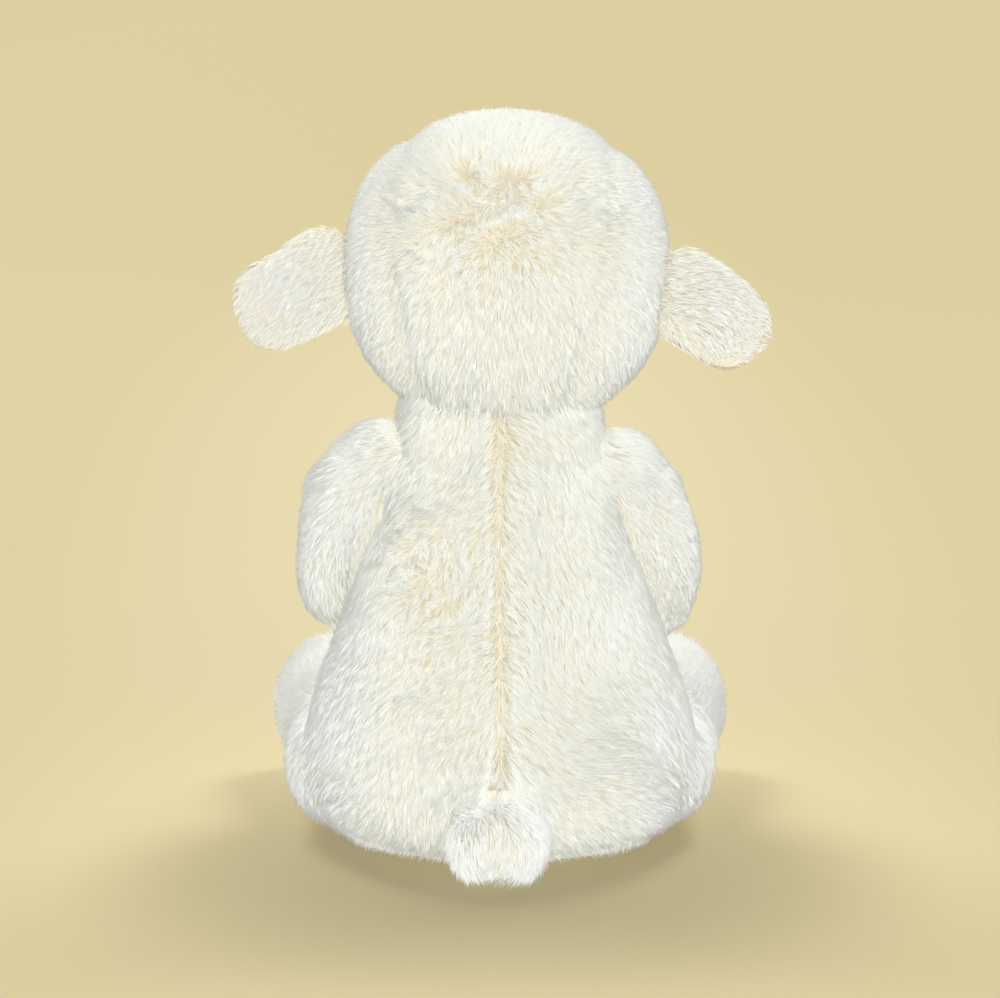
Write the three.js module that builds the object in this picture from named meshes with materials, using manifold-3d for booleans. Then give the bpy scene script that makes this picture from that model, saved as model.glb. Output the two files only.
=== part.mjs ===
// A sitting plush lamb: a stuffed body with a head, two ears, two arms, two legs and a tail sewn to it.
// Millimetres, +Z up, the face towards -Y and the lamb's left side towards +X.
// The origin is the middle of the flat seat that it sits on.
import * as THREE from 'three';
import { mergeVertices } from 'three/addons/utils/BufferGeometryUtils.js';
import Module from 'manifold-3d';

const wasm = await Module();
wasm.setup();

// Fabric, seams and running gaps
const wall = 5.5; // the backing with its long pile pressed down on it
const seamGap = 0.3; // between two panels sewn edge to edge
const layerGap = 0.3; // between a panel and the filling behind it
const jointGap = 0.5; // between a sewn-on part and what it turns against
const seatDent = 0.5; // how far the floor presses a soft underside flat

// Body: a pear that narrows to a round neck
const torsoHalfWidth = 77.5;
const torsoHalfDepth = 61;
const neckHeight = 170;
const neckRadius = 41;
const bellyForward = 4; // how far the seat's middle lies in front of the neck's
const torsoSides = 16;
const neckRings = 3;
// Share of the neck's height, then share of the swell from the neck's radius to the half width or half depth
const torsoWidthShares = [
  [0, 0.41],
  [0.035, 0.64],
  [0.094, 0.86],
  [0.176, 0.98],
  [0.265, 1],
  [0.38, 0.89],
  [0.55, 0.61],
  [0.75, 0.28],
  [1, 0],
];
const torsoDepthShares = [
  [0, -0.4],
  [0.035, 0.2],
  [0.094, 0.68],
  [0.176, 0.96],
  [0.265, 1],
  [0.38, 0.92],
  [0.55, 0.69],
  [0.75, 0.33],
  [1, 0],
];
const seatSeamHeight = 11; // the oval seat panel ends here

// Pellet bag lying on the seat panel
const bagHalfWidth = 42;
const bagHalfDepth = 33;
const bagHeight = 22;

// Haunches: round swells that the legs turn on
const haunchRadius = 33;
const haunchBulge = 9; // beyond the body's widest place
const haunchForward = 14;
const haunchSides = 12;

// Head
const headHalfWidth = 63;
const headHalfDepth = 58;
const headHalfHeight = 61;
const headLift = 66; // its middle above the neck's pivot
const headForward = 3;
const headPower = 2.4;
const browStep = 0.6; // the brow's slope is measured over this much to each side
const headSides = 16;
const headRings = 9;
const headRoll = -2; // degrees, as the lamb holds its head
const headYaw = -6;

// The gusset over the crown and down the back of the head: share of its half width at shares of the height
const gussetHalfWidth = 39;
const gussetWidthShares = [
  [-1, 0.6],
  [-0.75, 0.68],
  [-0.4, 0.8],
  [0.15, 0.95],
  [0.5, 1],
  [0.85, 0.95],
  [1, 0.88],
];

// Face and muzzle
const facePanelDepth = 16; // how far the face panel reaches back from the brow
const muzzleHalfWidth = 27;
const muzzleHalfDepth = 30;
const muzzleHalfHeight = 21;
const muzzleOut = 20; // beyond the brow
const muzzleDrop = 17; // below the middle of the head
const muzzleSides = 12;
const muzzleRings = 6;

// Safety eyes: a domed head, a shank through the face panel and a locking washer behind it
const eyeRadius = 5.5;
const eyeDome = 4.2;
const eyeRim = 0.8;
const eyeSpread = 21;
const eyeRise = 9;
const shankRadius = 1.8;
const shankEnd = 5; // beyond the inner face of the panel
const washerRadius = 6.5;
const washerThickness = 1.6;
const eyeSides = 12;
const eyeRings = 3;

// Embroidered nose and mouth
const stitchHeight = 1.2;
const noseHalfWidth = 8.5;
const noseHeight = 8.5;
const noseRise = 9; // its top edge above the middle of the muzzle
// One side of the nose's outline: share of its half width, then share of its height up from the tip
const noseShares = [
  [0, 0],
  [0.5, 0.33],
  [1, 0.75],
  [0.8, 1],
];
const mouthLine = 1.8; // width of the stitched line
const mouthDrop = 7;
const mouthHalfWidth = 9;
const mouthCurl = 3.5;

// Ears
const earLength = 57;
const earHalfWidth = 18.5;
const earHalfThickness = 5.5;
const earSink = 10; // how much of its length the root starts inside the head
const earDrop = 3; // the root's middle below the middle of the head
const earBack = 3;
const earSlope = 26; // degrees below level
const earSweep = 18; // degrees towards the back, as the ears lie at rest
const earPower = 2.5;
const earForward = 60; // degrees of flop from rest
const earBackward = -15;
const earSides = 10;
const earRings = 2;

// Arms
const armRadius = 20.5;
const shoulderDrop = 18; // below the neck's pivot
const armDrop = 56;
const armForward = 38;
const armSides = 10;
const armRings = 3;
const armTilt = 15; // degrees that the swing's axis leans with the flank
const armBack = -6; // degrees
const armRaise = 75;
const armSeamShare = 0.5; // where between the spine's two middle points the seam between the panels runs
// Share of the drop, share of the forward reach, stand-off from the flank as a share of the radius
const armSpineShares = [
  [0, 0, 0.12],
  [0.33, 0.21, 0.42],
  [0.7, 0.53, 0.27],
  [1, 1, -0.1],
];
const armSwellShares = [
  [0, 1],
  [0.4, 0.97],
  [0.75, 1],
  [1, 1],
];

// Legs
const legHalfWidth = 29;
const legHalfHeight = 31.5;
const legReach = 85; // from the haunch's middle to the foot's
const legSplay = 9; // degrees outwards
const legSides = 12;
const legRings = 3;
const legRootCap = 8;
const footCap = 24;
const footPower = 2.7;
const soleDepth = 8; // how far the sole panel reaches back from the end of the foot
const legLift = -12; // degrees
const legLower = 60;
const legSwellShares = [
  [0, 0.96],
  [0.45, 0.93],
  [1, 1],
];

// Tail
const tailRadius = 18.5;
const tailOut = 2; // from the back to the middle of its round end
const tailSink = 12;
const tailSides = 12;
const tailRings = 2;
const tailUp = 55; // degrees
const tailSwellShares = [
  [0, 0.9],
  [1, 1],
];

// A form with no swell at all
const evenShares = [
  [0, 1],
  [1, 1],
];

const capRings = 2; // rings in each round end of a limb
const cutStep = 12; // degrees between the stations of a swept cut
const innerCutStep = 36; // the same for the hollow inside a skin
const sweepGap = 0.6; // more room at the stations away from rest, for the ridges between them
const overrun = 2 * (neckHeight + headLift + headHalfHeight); // longer than anything here, for cutters
const degrees = Math.PI / 180;

const plush = new THREE.MeshStandardMaterial({ color: 0xf4efe2, roughness: 0.95, metalness: 0 });
const velour = new THREE.MeshStandardMaterial({ color: 0xf1e9d8, roughness: 0.9, metalness: 0 });
const lining = new THREE.MeshStandardMaterial({ color: 0xdcc7ad, roughness: 0.85, metalness: 0 });
const thread = new THREE.MeshStandardMaterial({ color: 0xb98a78, roughness: 0.6, metalness: 0 });
const eyeBlack = new THREE.MeshStandardMaterial({ color: 0x14100e, roughness: 0.12, metalness: 0 });
const washerWhite = new THREE.MeshStandardMaterial({ color: 0xe6e6e2, roughness: 0.5, metalness: 0 });
const filling = new THREE.MeshStandardMaterial({ color: 0xf7f7f5, roughness: 1, metalness: 0 });
const bagCloth = new THREE.MeshStandardMaterial({ color: 0xe9e4d6, roughness: 0.9, metalness: 0 });

// Shapes

// A smooth curve through a table of [place, value], held level at both ends.
function along(table, place) {
  const last = table.length - 1;
  if (place <= table[0][0]) return table[0][1];
  if (place >= table[last][0]) return table[last][1];
  const i = table.findIndex(([at]) => at > place) - 1;
  const slope = (k) => {
    const [before, after] = [table[Math.max(k - 1, 0)], table[Math.min(k + 1, last)]];
    return (after[1] - before[1]) / (after[0] - before[0]);
  };
  const [[x0, y0], [x1, y1]] = [table[i], table[i + 1]];
  const span = x1 - x0;
  const t = (place - x0) / span;
  const [t2, t3] = [t * t, t * t * t];
  return (
    (2 * t3 - 3 * t2 + 1) * y0 +
    (t3 - 2 * t2 + t) * span * slope(i) +
    (3 * t2 - 2 * t3) * y1 +
    (t3 - t2) * span * slope(i + 1)
  );
}

// One ring of points round centre: an ellipse of half sizes a along u and b along v.
function ring(centre, u, v, a, b, sides) {
  return Array.from({ length: sides }, (_, k) => {
    const angle = (2 * Math.PI * k) / sides;
    return centre.clone().addScaledVector(u, a * Math.cos(angle)).addScaledVector(v, b * Math.sin(angle));
  });
}

// A closed skin over rings that run from start to end.
function skin(rings, start, end) {
  const sides = rings[0].length;
  const points = [...rings.flat(), start, end];
  const [first, last] = [points.length - 2, points.length - 1];
  const faces = [];
  for (let j = 0; j < sides; j++) {
    const next = (j + 1) % sides;
    faces.push(first, next, j);
    for (let k = 0; k < rings.length - 1; k++) {
      const [low, high] = [k * sides, (k + 1) * sides];
      faces.push(low + j, low + next, high + next, low + j, high + next, high + j);
    }
    const top = (rings.length - 1) * sides;
    faces.push(last, top + j, top + next);
  }
  const geometry = new THREE.BufferGeometry().setFromPoints(points);
  geometry.setIndex(faces);
  return geometry;
}

// A form that swells along a spine and has round ends. across is the direction of its half width.
function swelling({ spine, across, halfWidth, halfHeight, shares, sides, rings, caps, power = 2 }) {
  const curve = new THREE.CatmullRomCurve3(spine, false, 'catmullrom');
  const [rootCap, tipCap] = caps;
  const made = [];
  const frame = (tangent) => {
    const u = across.clone().addScaledVector(tangent, -across.dot(tangent)).normalize();
    return [u, tangent.clone().cross(u)];
  };
  const add = (centre, tangent, share, cap) => {
    const [u, v] = frame(tangent);
    const swell = along(shares, share) * cap;
    made.push(ring(centre, u, v, halfWidth * swell, halfHeight * swell, sides));
  };
  const [rootWay, tipWay] = [curve.getTangentAt(0), curve.getTangentAt(1)];
  for (let k = 1; k <= capRings; k++) {
    const out = Math.cos((k / (capRings + 1)) * (Math.PI / 2));
    const centre = spine[0].clone().addScaledVector(rootWay, -rootCap * out);
    add(centre, rootWay, 0, (1 - out ** 2) ** (1 / 2));
  }
  for (let k = 0; k <= rings; k++) {
    add(curve.getPointAt(k / rings), curve.getTangentAt(k / rings), k / rings, 1);
  }
  const last = spine[spine.length - 1];
  for (let k = capRings; k >= 1; k--) {
    const out = Math.cos((k / (capRings + 1)) * (Math.PI / 2));
    add(last.clone().addScaledVector(tipWay, tipCap * out), tipWay, 1, (1 - out ** power) ** (1 / power));
  }
  const start = spine[0].clone().addScaledVector(rootWay, -rootCap);
  const end = last.clone().addScaledVector(tipWay, tipCap);
  return skin(made, start, end);
}

function solid(geometry) {
  const bare = geometry.clone();
  bare.deleteAttribute('normal');
  bare.deleteAttribute('uv');
  const merged = mergeVertices(bare);
  return new wasm.Manifold(
    new wasm.Mesh({
      numProp: 3,
      vertProperties: new Float32Array(merged.attributes.position.array),
      triVerts: new Uint32Array(merged.index.array),
    }),
  );
}

function moved(body, matrix) {
  return body.transform(matrix.elements);
}

// The biggest piece that a cut leaves: offcuts fall away.
function largest(body) {
  return body.decompose().reduce((best, one) => (one.volume() > best.volume() ? one : best));
}

// What lies beyond a plane through point, on the side that normal shows, half a seam away from it.
function beyond(body, point, normal) {
  const n = normal.clone().normalize();
  return body.trimByPlane(n.toArray(), n.dot(point) + seamGap / 2);
}

function ball(centre, radius, sides) {
  return solid(new THREE.SphereGeometry(radius, sides, sides / 2).translate(...centre));
}

// A ball whose flat faces stay outside radius, for cutting a hollow that a faceted ball turns in.
function hollowBall(centre, radius, sides) {
  const halfStep = Math.PI / sides;
  const geometry = new THREE.SphereGeometry(radius / Math.cos(halfStep) ** 2, sides, sides / 2);
  return solid(geometry.rotateY(halfStep).translate(...centre));
}

// Cuts body clear of what it turns against, at rest and at stations out to both limits of its hinge.
// obstacle is a function of the gap to leave, and step the angle between stations.
function clearOf(body, obstacle, { pivot, axis, low, high }, step) {
  body = body.subtract(obstacle(jointGap));
  const swept = obstacle(jointGap + sweepGap);
  for (const limit of [low, high]) {
    const stations = Math.ceil(Math.abs(limit) / step);
    for (let k = 1; k <= stations; k++) {
      const angle = ((limit * k) / stations) * degrees;
      const turn = new THREE.Matrix4()
        .makeTranslation(...pivot)
        .multiply(new THREE.Matrix4().makeRotationAxis(axis, -angle))
        .multiply(new THREE.Matrix4().makeTranslation(...pivot.clone().negate()));
      body = body.subtract(moved(swept, turn));
    }
  }
  return largest(body);
}

const root = new THREE.Group();

// A group that turns about pivot, a point of its parent's frame.
function jointGroup(parent, pivot) {
  const group = new THREE.Group();
  group.position.copy(pivot);
  parent.add(group);
  return group;
}

// Names a body and hangs it in a group whose origin is the point start of the body's frame.
function piece(group, name, body, material, start = new THREE.Vector3()) {
  const { vertProperties, triVerts, numProp } = body.getMesh();
  const geometry = new THREE.BufferGeometry();
  const count = vertProperties.length / numProp;
  const place = new Float32Array(count * 3);
  for (let i = 0; i < count; i++) place.set(vertProperties.subarray(i * numProp, i * numProp + 3), i * 3);
  geometry.setAttribute('position', new THREE.BufferAttribute(place, 3));
  geometry.setIndex(new THREE.BufferAttribute(triVerts, 1));
  geometry.translate(...start.clone().negate());
  geometry.computeVertexNormals();
  const mesh = new THREE.Mesh(geometry, material);
  mesh.name = name;
  group.add(mesh);
  return mesh;
}

// Body

const torsoHalfWidthAt = (z) =>
  neckRadius + (torsoHalfWidth - neckRadius) * along(torsoWidthShares, z / neckHeight);
const torsoHalfDepthAt = (z) =>
  neckRadius + (torsoHalfDepth - neckRadius) * along(torsoDepthShares, z / neckHeight);
const torsoMiddleAt = (z) => -bellyForward * (1 - Math.max(z, 0) / neckHeight);
const torsoBackAt = (z) => torsoMiddleAt(z) + torsoHalfDepthAt(z);
const neckPivot = new THREE.Vector3(0, 0, neckHeight);
const haunchCentre = (side) =>
  new THREE.Vector3(
    side * (torsoHalfWidth + haunchBulge - haunchRadius),
    -haunchForward,
    haunchRadius - seatDent,
  );

// The body grown by a distance, or shrunk where it is negative.
function torso(grow) {
  const [u, v] = [new THREE.Vector3(1, 0, 0), new THREE.Vector3(0, 1, 0)];
  const level = (z, a, b, y) => ring(new THREE.Vector3(0, y, z), u, v, a, b, torsoSides);
  const base = -seatDent - grow;
  const heights = torsoWidthShares.map(([share]) => share * neckHeight).filter((z) => z > base + seatDent);
  const rings = [base, ...heights].map((z) =>
    level(z, torsoHalfWidthAt(z) + grow, torsoHalfDepthAt(z) + grow, torsoMiddleAt(z)),
  );
  const radius = neckRadius + grow;
  for (let k = 1; k < neckRings; k++) {
    const angle = (k / neckRings) * (Math.PI / 2);
    const out = radius * Math.cos(angle);
    rings.push(level(neckHeight + radius * Math.sin(angle), out, out, 0));
  }
  const start = new THREE.Vector3(0, torsoMiddleAt(base), base);
  return solid(skin(rings, start, new THREE.Vector3(0, 0, neckHeight + radius)));
}

function bodyForm(grow) {
  const haunches = [1, -1].map((side) =>
    ball(haunchCentre(side).toArray(), haunchRadius + grow, haunchSides),
  );
  return torso(grow).add(haunches[0]).add(haunches[1]);
}

const up = new THREE.Vector3(0, 0, 1);
const down = up.clone().negate();
const left = new THREE.Vector3(1, 0, 0);
const right = left.clone().negate();
const backwards = new THREE.Vector3(0, 1, 0);
const forwards = backwards.clone().negate();
const floor = new THREE.Vector3(0, 0, -seamGap / 2); // a cut through here leaves a flat face at height zero

const bodyOuter = beyond(bodyForm(0), floor, up);
const bodySkin = bodyOuter.subtract(bodyForm(-wall));
const seatSeam = new THREE.Vector3(0, 0, seatSeamHeight);
const sideSeam = new THREE.Vector3(0, -bellyForward, 0);
const aboveSeat = beyond(bodySkin, seatSeam, up);
const backSkin = beyond(aboveSeat, sideSeam, backwards);
const middle = new THREE.Vector3();
piece(root, 'back_panel_left', largest(beyond(backSkin, middle, left)), plush);
piece(root, 'back_panel_right', largest(beyond(backSkin, middle, right)), plush);
piece(root, 'belly_panel', largest(beyond(aboveSeat, sideSeam, forwards)), plush);
piece(root, 'seat_panel', largest(beyond(bodySkin, seatSeam, down)), plush);

// The bag is flat below and domed above, and lies on the seat panel's inner face.
const bagFloor = wall - seatDent + layerGap;
function pelletBag(grow) {
  const rounded = new THREE.SphereGeometry(1, torsoSides, torsoSides / 2);
  rounded.rotateX(Math.PI / 2).scale(bagHalfWidth + grow, bagHalfDepth + grow, bagHeight + grow);
  rounded.translate(0, -bellyForward, bagFloor);
  return solid(rounded);
}
const bagSeat = new THREE.Vector3(0, 0, bagFloor - seamGap / 2);
piece(root, 'pellet_bag', beyond(pelletBag(0), bagSeat, up), bagCloth);
const bodyFilling = bodyForm(-wall - layerGap).subtract(pelletBag(layerGap));
piece(root, 'body_filling', largest(bodyFilling), filling);

// Head, in a frame that starts at the neck's pivot and leans as the lamb holds it

const head = new THREE.Group();
head.position.copy(neckPivot);
head.rotation.set(0, headRoll * degrees, headYaw * degrees, 'ZYX');
root.add(head);

const headMiddle = new THREE.Vector3(0, -headForward, headLift);
const roundedShare = (share) => (1 - Math.abs(share) ** headPower) ** (1 / headPower);
const headWidthAt = (rise) => headHalfWidth * roundedShare(rise / headHalfHeight);
const headDepthAt = (rise) => (headWidthAt(rise) * headHalfDepth) / headHalfWidth;

function headLoft(grow) {
  const [u, v] = [new THREE.Vector3(1, 0, 0), new THREE.Vector3(0, 1, 0)];
  const rings = [];
  for (let k = 1; k < headRings; k++) {
    const angle = (k / headRings) * Math.PI;
    const rise = -Math.cos(angle);
    const out = roundedShare(rise);
    const centre = headMiddle.clone().addScaledVector(up, rise * (headHalfHeight + grow));
    rings.push(ring(centre, u, v, out * (headHalfWidth + grow), out * (headHalfDepth + grow), headSides));
  }
  const pole = up.clone().multiplyScalar(headHalfHeight + grow);
  return solid(skin(rings, headMiddle.clone().sub(pole), headMiddle.clone().add(pole)));
}

const browFront = headForward + headHalfDepth;
const muzzleFront = browFront + muzzleOut;
const muzzleMiddle = new THREE.Vector3(0, muzzleHalfDepth - muzzleFront, headLift - muzzleDrop);

function muzzle(grow) {
  const rounded = new THREE.SphereGeometry(1, muzzleSides, muzzleRings);
  rounded.scale(muzzleHalfWidth + grow, muzzleHalfHeight + grow, muzzleHalfDepth + grow);
  rounded.rotateX(Math.PI / 2).translate(...muzzleMiddle);
  return solid(rounded);
}

function headForm(shrink) {
  const whole = headLoft(-shrink).add(muzzle(-shrink));
  return whole.subtract(hollowBall([0, 0, 0], neckRadius + jointGap + shrink, torsoSides));
}

const headSkin = headForm(0).subtract(headForm(wall));
const faceSeam = new THREE.Vector3(0, -(browFront - facePanelDepth), 0);
const wool = beyond(headSkin, faceSeam, backwards);

// A slab that the gusset's curved seams bound, running from front to back.
function gussetSlab(grow) {
  const outline = new THREE.Shape();
  const edge = gussetWidthShares.map(([share, width]) => [
    gussetHalfWidth * width + grow,
    headLift + share * headHalfHeight,
  ]);
  const beyondPoles = [
    [edge[0][0], edge[0][1] - headHalfHeight],
    ...edge,
    [edge[edge.length - 1][0], edge[edge.length - 1][1] + headHalfHeight],
  ];
  beyondPoles.forEach(([x, z], k) => (k ? outline.lineTo(x, z) : outline.moveTo(x, z)));
  [...beyondPoles].reverse().forEach(([x, z]) => outline.lineTo(-x, z));
  const slab = new THREE.ExtrudeGeometry(outline, { depth: overrun, bevelEnabled: false });
  return solid(slab.translate(0, 0, -overrun / 2).rotateX(Math.PI / 2));
}

// Eyes: placed on the brow, along its own outward direction

function browPoint(x, rise) {
  const [a, b] = [headWidthAt(rise), headDepthAt(rise)];
  return new THREE.Vector3(x, -headForward - b * Math.sqrt(1 - (x / a) ** 2), headLift + rise);
}
function browNormal(x, rise) {
  const across = browPoint(x + browStep, rise).sub(browPoint(x - browStep, rise));
  const upwards = browPoint(x, rise + browStep).sub(browPoint(x, rise - browStep));
  return across.cross(upwards).normalize();
}

// A turned shape about +Y of the eye's own frame, pointing out of the face.
function turned(profile, side) {
  const points = profile.map(([radius, height]) => new THREE.Vector2(radius, height));
  const geometry = new THREE.LatheGeometry(points, eyeSides);
  const way = browNormal(side * eyeSpread, eyeRise);
  geometry.applyQuaternion(new THREE.Quaternion().setFromUnitVectors(new THREE.Vector3(0, 1, 0), way));
  geometry.translate(...browPoint(side * eyeSpread, eyeRise));
  return solid(geometry);
}

const washerTop = -wall - layerGap;
const washerBottom = washerTop - washerThickness;
const shankTip = -wall - shankEnd;
function eye(side) {
  const dome = Array.from({ length: eyeRings + 1 }, (_, k) => {
    const angle = (k / eyeRings) * (Math.PI / 2);
    return [eyeRadius * Math.cos(angle), layerGap + eyeRim + eyeDome * Math.sin(angle)];
  });
  dome[eyeRings][0] = 0;
  const shank = [[0, shankTip], [shankRadius, shankTip], [shankRadius, layerGap]];
  return turned([...shank, [eyeRadius, layerGap], ...dome], side);
}
const shaft = (radius, low, high, side) => turned([[0, low], [radius, low], [radius, high], [0, high]], side);
const shankHole = (side) => shaft(shankRadius + layerGap, shankTip, eyeRim, side);
// The brow under the eye is curved, so the panel is pressed flat there as the eye is locked on.
const eyeSeat = (side) => shankHole(side).add(shaft(eyeRadius + layerGap, 0, eyeRim + eyeDome, side));
const washer = (side) => shaft(washerRadius, washerBottom, washerTop, side).subtract(shankHole(side));
// Behind the panel, the filling gives way round the washer and the shank.
const washerPocket = (side) => shaft(washerRadius + layerGap, shankTip - layerGap, 0, side);
const washerRoom = (side) =>
  shaft(washerRadius + layerGap, washerBottom - layerGap, washerTop + layerGap, side);

let facePanel = beyond(headSkin, faceSeam, forwards);
let headFilling = headForm(wall + layerGap);
for (const side of [1, -1]) {
  facePanel = facePanel.subtract(eyeSeat(side)).subtract(washerRoom(side));
  headFilling = headFilling.subtract(washerPocket(side));
}
piece(head, 'head_gusset', largest(wool.intersect(gussetSlab(-seamGap / 2))), plush);
const cheeks = wool.subtract(gussetSlab(seamGap / 2));
piece(head, 'head_side_left', largest(beyond(cheeks, middle, left)), plush);
piece(head, 'head_side_right', largest(beyond(cheeks, middle, right)), plush);
piece(head, 'face_panel', largest(facePanel), velour);
piece(head, 'head_filling', largest(headFilling), filling);
for (const [side, word] of [[1, 'left'], [-1, 'right']]) {
  piece(head, `eye_${word}`, eye(side), eyeBlack);
  piece(head, `eye_washer_${word}`, washer(side), washerWhite);
}

// Embroidery: patches cut from a thin layer that lies on the face

const stitchLayer = headLoft(layerGap + stitchHeight)
  .add(muzzle(layerGap + stitchHeight))
  .subtract(headLoft(layerGap).add(muzzle(layerGap)));

// A prism that runs forwards from an outline in the face's own plane, x across and z up.
function patch(points) {
  const outline = new THREE.Shape(points.map(([x, z]) => new THREE.Vector2(x, z)));
  const prism = new THREE.ExtrudeGeometry(outline, { depth: overrun, bevelEnabled: false });
  return solid(prism.rotateX(Math.PI / 2));
}

const noseTop = muzzleMiddle.z + noseRise;
const noseTip = noseTop - noseHeight;
const noseEdge = noseShares.map(([out, rise]) => [noseHalfWidth * out, noseTip + noseHeight * rise]);
const noseOtherEdge = noseEdge.slice(1).reverse().map(([x, z]) => [-x, z]);
const nosePatch = patch([...noseEdge, ...noseOtherEdge]);
piece(head, 'nose_stitching', largest(stitchLayer.intersect(nosePatch)), thread);

// The mouth is one line of stitches: down from the nose, then out and up to both sides.
const mouthTop = noseTip - seamGap;
const mouthKnee = mouthTop - mouthDrop;
const half = mouthLine / 2;
const mouthPatch = patch([
  [-half, mouthTop],
  [-half, mouthKnee + half],
  [-mouthHalfWidth, mouthKnee + mouthCurl],
  [-mouthHalfWidth, mouthKnee + mouthCurl - mouthLine],
  [0, mouthKnee - mouthLine],
  [mouthHalfWidth, mouthKnee + mouthCurl - mouthLine],
  [mouthHalfWidth, mouthKnee + mouthCurl],
  [half, mouthKnee + half],
  [half, mouthTop],
]);
piece(head, 'mouth_stitching', largest(stitchLayer.intersect(mouthPatch)), thread);

// Ears: two layers each, sewn to the sides of the head

for (const [side, word] of [[1, 'left'], [-1, 'right']]) {
  const outwards = new THREE.Vector3(side * Math.cos(earSlope * degrees), 0, -Math.sin(earSlope * degrees));
  const upEdge = new THREE.Vector3(side * Math.sin(earSlope * degrees), 0, Math.cos(earSlope * degrees));
  const hinge = upEdge.clone().multiplyScalar(-side); // turning about it brings the ear forwards
  outwards.applyAxisAngle(hinge, -earSweep * degrees);
  const rootPoint = new THREE.Vector3(side * headWidthAt(-earDrop), earBack, headLift - earDrop);
  const ear = (grow) =>
    solid(
      swelling({
        spine: [earHalfWidth - earSink, earLength - earSink - earHalfWidth].map((way) =>
          rootPoint.clone().addScaledVector(outwards, way),
        ),
        across: upEdge,
        halfWidth: earHalfWidth + grow,
        halfHeight: earHalfThickness + grow,
        shares: evenShares,
        sides: earSides,
        rings: earRings,
        caps: [earHalfWidth + grow, earHalfWidth + grow],
        power: earPower,
      }),
    );
  const flop = { pivot: rootPoint, axis: hinge, low: earBackward, high: earForward };
  const cut = clearOf(ear(0), headLoft, flop, cutStep);
  const group = jointGroup(head, rootPoint);
  const rearwards = hinge.clone().cross(outwards).negate(); // square to both layers
  piece(group, `ear_back_${word}`, largest(beyond(cut, rootPoint, rearwards)), plush, rootPoint);
  piece(group, `ear_lining_${word}`, largest(beyond(cut, rootPoint, rearwards.negate())), lining, rootPoint);
}

// Arms: two panels over filling, hanging from the shoulders to the thighs

const shoulderHeight = neckHeight - shoulderDrop;
const shoulderMiddle = torsoMiddleAt(shoulderHeight);
for (const [side, word] of [[1, 'left'], [-1, 'right']]) {
  const shoulder = new THREE.Vector3(side * torsoHalfWidthAt(shoulderHeight), shoulderMiddle, shoulderHeight);
  const spine = armSpineShares.map(([dropShare, forwardShare, standShare]) => {
    const z = shoulderHeight - armDrop * dropShare;
    const x = torsoHalfWidthAt(z) + armRadius * standShare;
    return new THREE.Vector3(side * x, shoulderMiddle - armForward * forwardShare, z);
  });
  const outwards = new THREE.Vector3(side * Math.cos(armTilt * degrees), 0, Math.sin(armTilt * degrees));
  const axis = outwards.clone().multiplyScalar(-side); // turning about it brings the arm forwards
  const swing = { pivot: shoulder, axis, low: armBack, high: armRaise };
  const layer = (shrink) => {
    const whole = solid(
      swelling({
        spine,
        across: outwards,
        halfWidth: armRadius - shrink,
        halfHeight: armRadius - shrink,
        shares: armSwellShares,
        sides: armSides,
        rings: armRings,
        caps: [armRadius - shrink, armRadius - shrink],
      }),
    );
    return clearOf(whole, (gap) => torso(gap + shrink), swing, shrink ? innerCutStep : cutStep);
  };
  const shell = layer(0).subtract(layer(wall));
  const group = jointGroup(root, shoulder);
  const seam = spine[1].clone().lerp(spine[2], armSeamShare);
  piece(group, `arm_outer_${word}`, largest(beyond(shell, seam, outwards)), plush, shoulder);
  piece(group, `arm_inner_${word}`, largest(beyond(shell, seam, outwards.negate())), plush, shoulder);
  piece(group, `arm_filling_${word}`, layer(wall + layerGap), filling, shoulder);
}

// Legs: two side panels and a sole over filling, lying forwards on the floor

for (const [side, word] of [[1, 'left'], [-1, 'right']]) {
  const hip = haunchCentre(side);
  const swing = { pivot: hip, axis: left, low: legLift, high: legLower };
  const ahead = new THREE.Vector3(side * Math.sin(legSplay * degrees), -Math.cos(legSplay * degrees), 0);
  const outwards = new THREE.Vector3(side * Math.cos(legSplay * degrees), Math.sin(legSplay * degrees), 0);
  const layer = (shrink) => {
    const places = legSwellShares.map(([share, swell]) => {
      const place = hip.clone().addScaledVector(ahead, legReach * share);
      place.z = legHalfHeight * swell - seatDent;
      return place;
    });
    const whole = solid(
      swelling({
        spine: places,
        across: outwards,
        halfWidth: legHalfWidth - shrink,
        halfHeight: legHalfHeight - shrink,
        shares: legSwellShares,
        sides: legSides,
        rings: legRings,
        caps: [legRootCap - shrink, footCap - shrink],
        power: footPower,
      }),
    );
    const onFloor = shrink ? whole : beyond(whole, floor, up);
    const haunchRoom = hollowBall(hip.toArray(), haunchRadius + jointGap + shrink, haunchSides);
    const offHaunch = onFloor.subtract(haunchRoom);
    return clearOf(offHaunch, (gap) => torso(gap + shrink), swing, shrink ? innerCutStep : cutStep);
  };
  const shell = layer(0).subtract(layer(wall));
  const soleSeam = hip.clone().addScaledVector(ahead, legReach + footCap - soleDepth);
  const shaftSkin = beyond(shell, soleSeam, ahead.clone().negate());
  const group = jointGroup(root, hip);
  piece(group, `leg_outer_${word}`, largest(beyond(shaftSkin, hip, outwards)), plush, hip);
  piece(group, `leg_inner_${word}`, largest(beyond(shaftSkin, hip, outwards.negate())), plush, hip);
  piece(group, `sole_${word}`, largest(beyond(shell, soleSeam, ahead)), lining, hip);
  piece(group, `leg_filling_${word}`, layer(wall + layerGap), filling, hip);
}

// Tail: two halves over filling, lying back on the floor

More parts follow.
